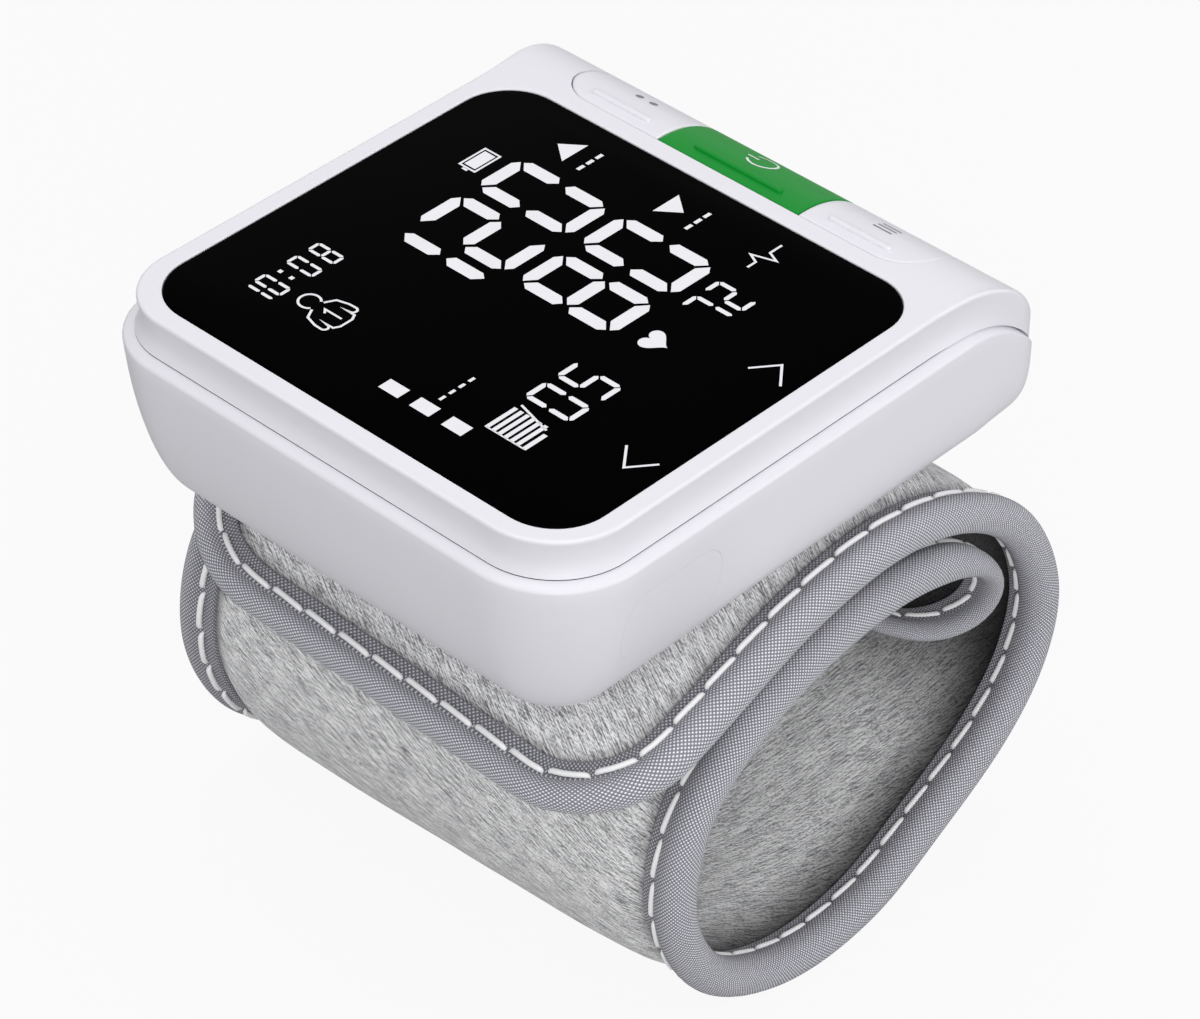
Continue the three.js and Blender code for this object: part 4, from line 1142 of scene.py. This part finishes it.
# Binding: a woven tape folded over the strap's edge all the way round, with a
# filled roll outside and a narrow flat wing sewn down on each face. The tape is
# painted darker from the roll's sides out over the wing, as painted shade.
ROLL_R = 2.4
ROLL_INSET = 2.2
ROLL_TURN = 128
ROLL_STEPS = 24
TAPE_STEP = 1.3
TAPE_TAIL_S = (COIL_LENGTH - 34, COIL_LENGTH - 16)
TAPE_FREE_S = (55, 90)
# How much tighter the weave is at the free end, and where that fades
TIGHTER, TIGHTER_S = 0.22, (8, 60)
# The roll's size, and how much less it is across the free end, towards it and at the tail
ROLL_SIZE, END_SLIMMER, FREE_SLIMMER, TAIL_SLIMMER = 1.02, 0.24, 0.08, 0.34
WING_START = -1.6
WING_WIDER = 0.1
# Places of the sewn-down wing: out from the roll's centre, and off the strap's middle
WING = [
    (-3.36, 0.7), (-3.42, 1.1), (-3.38, 1.36), (-3.2, 1.45), (-2.85, 1.44), (-2.45, 1.38),
    (-2.1, 1.36), (-1.8, 1.5),
]
tape_profile = list(WING)
for i in range(ROLL_STEPS + 1):
    turn = math.radians(ROLL_TURN - 2 * ROLL_TURN * i / ROLL_STEPS)
    tape_profile.append((ROLL_R * math.cos(turn), ROLL_R * math.sin(turn)))
tape_profile += [(o, -n) for o, n in reversed(WING)]
tape_along = [0.0]
for one, two in zip(tape_profile, tape_profile[1:]):
    tape_along.append(tape_along[-1] + math.dist(one, two))

edge_spots = outline_spots(
    ROLL_INSET, COIL_LENGTH - ROLL_INSET, ROLL_INSET - STRAP_HALF_Y, STRAP_HALF_Y - ROLL_INSET,
    tuple(corner - ROLL_INSET for corner in (STRAP_CORNER, STRAP_CORNER, NEAR_CORNER, STRAP_CORNER)),
    26, int(COIL_LENGTH / TAPE_STEP), 34)


def edge_run(first_half):
    """The edge's places on one side of the join, in order, with the ends at it."""
    radius = STRAP_CORNER - ROLL_INSET
    core = STRAP_HALF_Y - STRAP_CORNER
    upper = (JOIN_S, core, 0.0, 1.0, radius)
    lower = (JOIN_S, -core, 0.0, -1.0, radius)
    along = [s for s, y in inset_line(edge_spots)]
    if first_half:
        kept = [spot for spot, s in zip(edge_spots, along) if s < JOIN_S - 0.4]
        return [upper] + kept + [lower]
    flags = [s > JOIN_S + 0.4 for s in along]
    begin = next(i for i in range(len(flags)) if flags[i] and not flags[i - 1])
    kept = [edge_spots[(begin + i) % len(edge_spots)] for i in range(sum(flags))]
    return [lower] + kept + [upper]


def ripple(tree, source, pitch):
    """A sine along one direction of the tape, one wave a pitch."""
    return reckon(tree, "SINE", reckon(tree, "MULTIPLY", source, 2 * math.pi / pitch))


def weave(tree, flat, along, across):
    """Rows of small raised dots, with those pitches along and across."""
    ways = add_node(tree, "SeparateXYZ", {"Vector": flat})
    return ways, reckon(
        tree, "MULTIPLY", ripple(tree, ways["X"], along), ripple(tree, ways["Y"], across))


binding_tape, tree, shader = new_material("woven_binding_tape")
flat = add_node(tree, "UVMap", uv_map="flat")["UV"]
ways, lattice = weave(tree, flat, 0.5, 0.46)
ground = mix_colours(
    tree, mottle(tree, 1.6, 3, spot=flat), (0.22, 0.22, 0.255, 1), (0.3, 0.3, 0.34, 1))
thread = mix_colours(
    tree, ease(tree, lattice, 0.15, 0.5, 0.0, 1.0), ground, (0.95, 0.95, 1.0, 1))
# Painted shade: darker down the roll's sides and on the wing
painted_roll_shade = ease(
    tree, reckon(tree, "ABSOLUTE", ways["Y"]),
    ROLL_R * math.radians(50), ROLL_R * math.radians(ROLL_TURN), 1.0, 0.66)
set_inputs(tree, shader, {
    "Base Color": mix_colours(tree, 1.0, thread, painted_roll_shade, "MULTIPLY"), "Roughness": 0.8,
    "Specular IOR Level": 0.25, "Sheen Weight": 0.15})
add_bump(tree, shader, lattice, 0.6, 0.00012)


def make_binding(name, first_half):
    rows, flat_rows = [], []
    gone = 0.0
    last = None
    for cx, cy, ds, dy, r in edge_run(first_half):
        middle = Vector((cx + ds * r, cy + dy * r))
        tail = smooth_share(middle.x, *TAPE_TAIL_S)
        free = 1 - smooth_share(middle.x, *TAPE_FREE_S)
        at_end = max(-ds, 0)
        pitch = 1 - TIGHTER * (1 - smooth_share(middle.x, *TIGHTER_S))
        if last is not None:
            gone += (middle - last).length * pitch
        last = middle
        size = ROLL_SIZE - END_SLIMMER * at_end - FREE_SLIMMER * free - TAIL_SLIMMER * tail
        places = []
        for o, n in tape_profile:
            if o < WING_START:
                o *= 1 + WING_WIDER * at_end
            else:
                o, n = o * size, n * (0.4 + 0.6 * size)
            places.append(roll_up(middle.x + ds * o, middle.y + dy * o, n))
        rows.append(places)
        flat_rows.append([
            Vector((gone, (v - tape_along[-1] / 2) * pitch, 0)) for v in tape_along])
    tape = bmesh.new()
    tag = tape.verts.layers.float_vector.new("flat_place")
    for ring, flats in zip(skin(tape, rows), flat_rows):
        for vertex, flat_place in zip(ring, flats):
            vertex[tag] = flat_place
    flat_to_uv(tape, tag)
    piece = finish_mesh(tape, name, binding_tape, sharp_from=75)
    return piece


top_binding = make_binding("cuff_binding_top", True)
loop_binding = make_binding("cuff_binding_loop", False)
edges = ("front_binding", "back_binding", "end_binding")
follow_cuff(top_binding, loop_binding)
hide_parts(*("cuff_top_" + edge for edge in edges))
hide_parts(*("cuff_loop_" + edge for edge in edges))

# Stitching: a thick white thread in the groove beside the roll on both faces, in
# long flat stitches that dive at their ends and lie a little slanted.
STITCH_PITCH = {1: 5.5, -1: 4.9}
STITCH_GAP = 0.5
STITCH_LIFT = 1.9
SEWN_INSET = 1.72
THREAD_SIDES = 7
THREAD_HALF_WIDTH = 0.35
THREAD_HALF_HEIGHT = 0.34
SLANT = 0.3
# Share of the stitch's length, of its thickness, and how deep it dives there
STITCH_RINGS = [
    (-0.5, 0.45, 0.42), (-0.47, 0.85, 0.2), (-0.38, 1, 0.03), (-0.13, 1, 0),
    (0.13, 1, 0), (0.38, 1, 0.03), (0.47, 0.85, 0.2), (0.5, 0.45, 0.42)]
stitch_thread, tree, shader = new_material("white_thread")
twist = mottle(tree, 2600)
set_inputs(tree, shader, {
    "Base Color": mix_colours(tree, twist, (0.97, 0.97, 0.98, 1), (1.0, 1.0, 1.0, 1)),
    "Roughness": 0.65, "Sheen Weight": 0.8})
add_bump(tree, shader, twist, 0.5, 0.00006)
sewn_line = [
    (cx + ds * (r - SEWN_INSET), cy + dy * (r - SEWN_INSET), ds, dy)
    for cx, cy, ds, dy, r in edge_spots + edge_spots[:1]]
sewn_gone = [0.0]
for one, two in zip(sewn_line, sewn_line[1:]):
    sewn_gone.append(sewn_gone[-1] + math.dist(one[:2], two[:2]))


def sewn_spot(distance):
    """Place and outward direction on the sewn line at a length along it."""
    distance %= sewn_gone[-1]
    i = max(k for k in range(len(sewn_gone) - 1) if sewn_gone[k] <= distance)
    share = (distance - sewn_gone[i]) / max(sewn_gone[i + 1] - sewn_gone[i], 1e-9)
    return [one + (two - one) * share for one, two in zip(sewn_line[i], sewn_line[i + 1])]


def make_stitches(name, first_half):
    sewn = bmesh.new()
    for side in (1, -1):
        count = round(sewn_gone[-1] / STITCH_PITCH[side])
        pitch = sewn_gone[-1] / count
        for i in range(count):
            middle = pitch * (i + (0.25 if side < 0 else 0.75))
            if (sewn_spot(middle)[0] < JOIN_S) != first_half:
                continue
            rows = []
            for step, size, dip in STITCH_RINGS:
                s, y, ds, dy = sewn_spot(middle + step * (pitch - STITCH_GAP))
                slant = SLANT * step * side
                places = []
                for k in range(THREAD_SIDES):
                    turn = 2 * math.pi * k / THREAD_SIDES
                    o = slant + THREAD_HALF_WIDTH * size * math.cos(turn)
                    n = STITCH_LIFT - dip + THREAD_HALF_HEIGHT * size * math.sin(turn)
                    places.append(roll_up(s + ds * o, y + dy * o, side * n))
                rows.append(places)
            skin(sewn, rows)
    piece = finish_mesh(sewn, name, stitch_thread, sharp_from=80)
    return piece


follow_cuff(make_stitches("cuff_stitches_top", True), make_stitches("cuff_stitches_loop", False))

# Hook patch: a stiff tape with rows of tiny plastic hooks, sewn to the outside
# of the tail so the cuff can be fastened round the wrist.
HOOK_START, HOOK_END = COIL_LENGTH - 51, COIL_LENGTH - 29
HOOK_MIDDLE = (HOOK_START + HOOK_END) / 2
HOOK_HALF_Y = 28.0
HOOK_CORNER = 3.0
# Insets and heights of the patch's rings, from its hidden foot to its flat face
HOOK_EDGE = [(0.0, -0.5), (0.0, 0.35), (0.12, 0.52), (0.35, 0.6), (1.2, 0.6), (2.6, 0.6)]
hook_tape, tree, shader = new_material("hook_tape")
_, hooks = weave(tree, add_node(tree, "UVMap", uv_map="flat")["UV"], 1.1, 0.9)
set_inputs(tree, shader, {
    "Base Color": add_ramp(tree, hooks, 0.1, (0.05, 0.05, 0.055), 0.8, (0.2, 0.2, 0.21)),
    "Roughness": 0.5})
add_bump(tree, shader, hooks, 0.9, 0.0003)
hook_spots = outline_spots(
    HOOK_START, HOOK_END, -HOOK_HALF_Y, HOOK_HALF_Y, (HOOK_CORNER,) * 4, 8, 14, 40)
flat_rows = [(inset_line(hook_spots, inset), lift) for inset, lift in HOOK_EDGE]
face_line, face_lift = flat_rows[-1]
for keep in [0.8, 0.6, 0.4, 0.2, 0.0]:
    flat_rows.append(([
        (HOOK_MIDDLE + (s - HOOK_MIDDLE) * keep, y * (0.7 + 0.3 * keep)) for s, y in face_line],
        face_lift))
patch = bmesh.new()
tag = patch.verts.layers.float_vector.new("flat_place")
rings = skin(patch, [
    [roll_up(s, y, pad_height(s, y, True) + lift) for s, y in line] for line, lift in flat_rows],
    end=False)
for ring, (line, _) in zip(rings, flat_rows):
    for vertex, (s, y) in zip(ring, line):
        vertex[tag] = Vector((s, y, 1))
flat_to_uv(patch, tag)
hook_patch = finish_mesh(patch, "hook_patch", hook_tape, sharp_from=50)
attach(hook_patch, "cuff_loop")
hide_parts("hook_pad")

# Parts inside the housing keep their modelled shapes and get finishes of their
# own: coated boards, plated steel, black nylon, soft silicone and a shrink wrap.
board_green = fine_finish("coated_board", (0.02, 0.16, 0.06), (0.012, 0.1, 0.035), 0.35)
black_nylon = fine_finish("black_nylon", (0.03, 0.03, 0.032), (0.02, 0.02, 0.022), 0.5)
wrap_blue = fine_finish("shrink_wrap", (0.03, 0.09, 0.28), (0.02, 0.06, 0.2), 0.3, 0.1)
silicone = fine_finish("soft_silicone", (0.62, 0.62, 0.6), (0.5, 0.5, 0.49), 0.55)
plated_steel = fine_finish(
    "plated_steel", (0.62, 0.62, 0.63), (0.5, 0.5, 0.52), 0.28, 0.1, more={"Metallic": 1.0})
finishes = {
    board_green: ["button_board", "main_board", "charge_board"],
    black_nylon: ["memory_switch", "start_switch", "user_switch", "display_module",
                  "pressure_sensor", "buzzer", "pump_head", "release_valve"],
    wrap_blue: ["battery"],
    silicone: ["air_tube", "air_nipple"],
    white_plastic: ["cuff_saddle"],
    plated_steel: ["housing_screw_1", "housing_screw_2", "housing_screw_3", "housing_screw_4",
                   "saddle_screw_1", "saddle_screw_2", "charging_socket", "pump_motor"],
}
for finish, names in finishes.items():
    for name in names:
        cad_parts[name].material_slots[0].material = finish
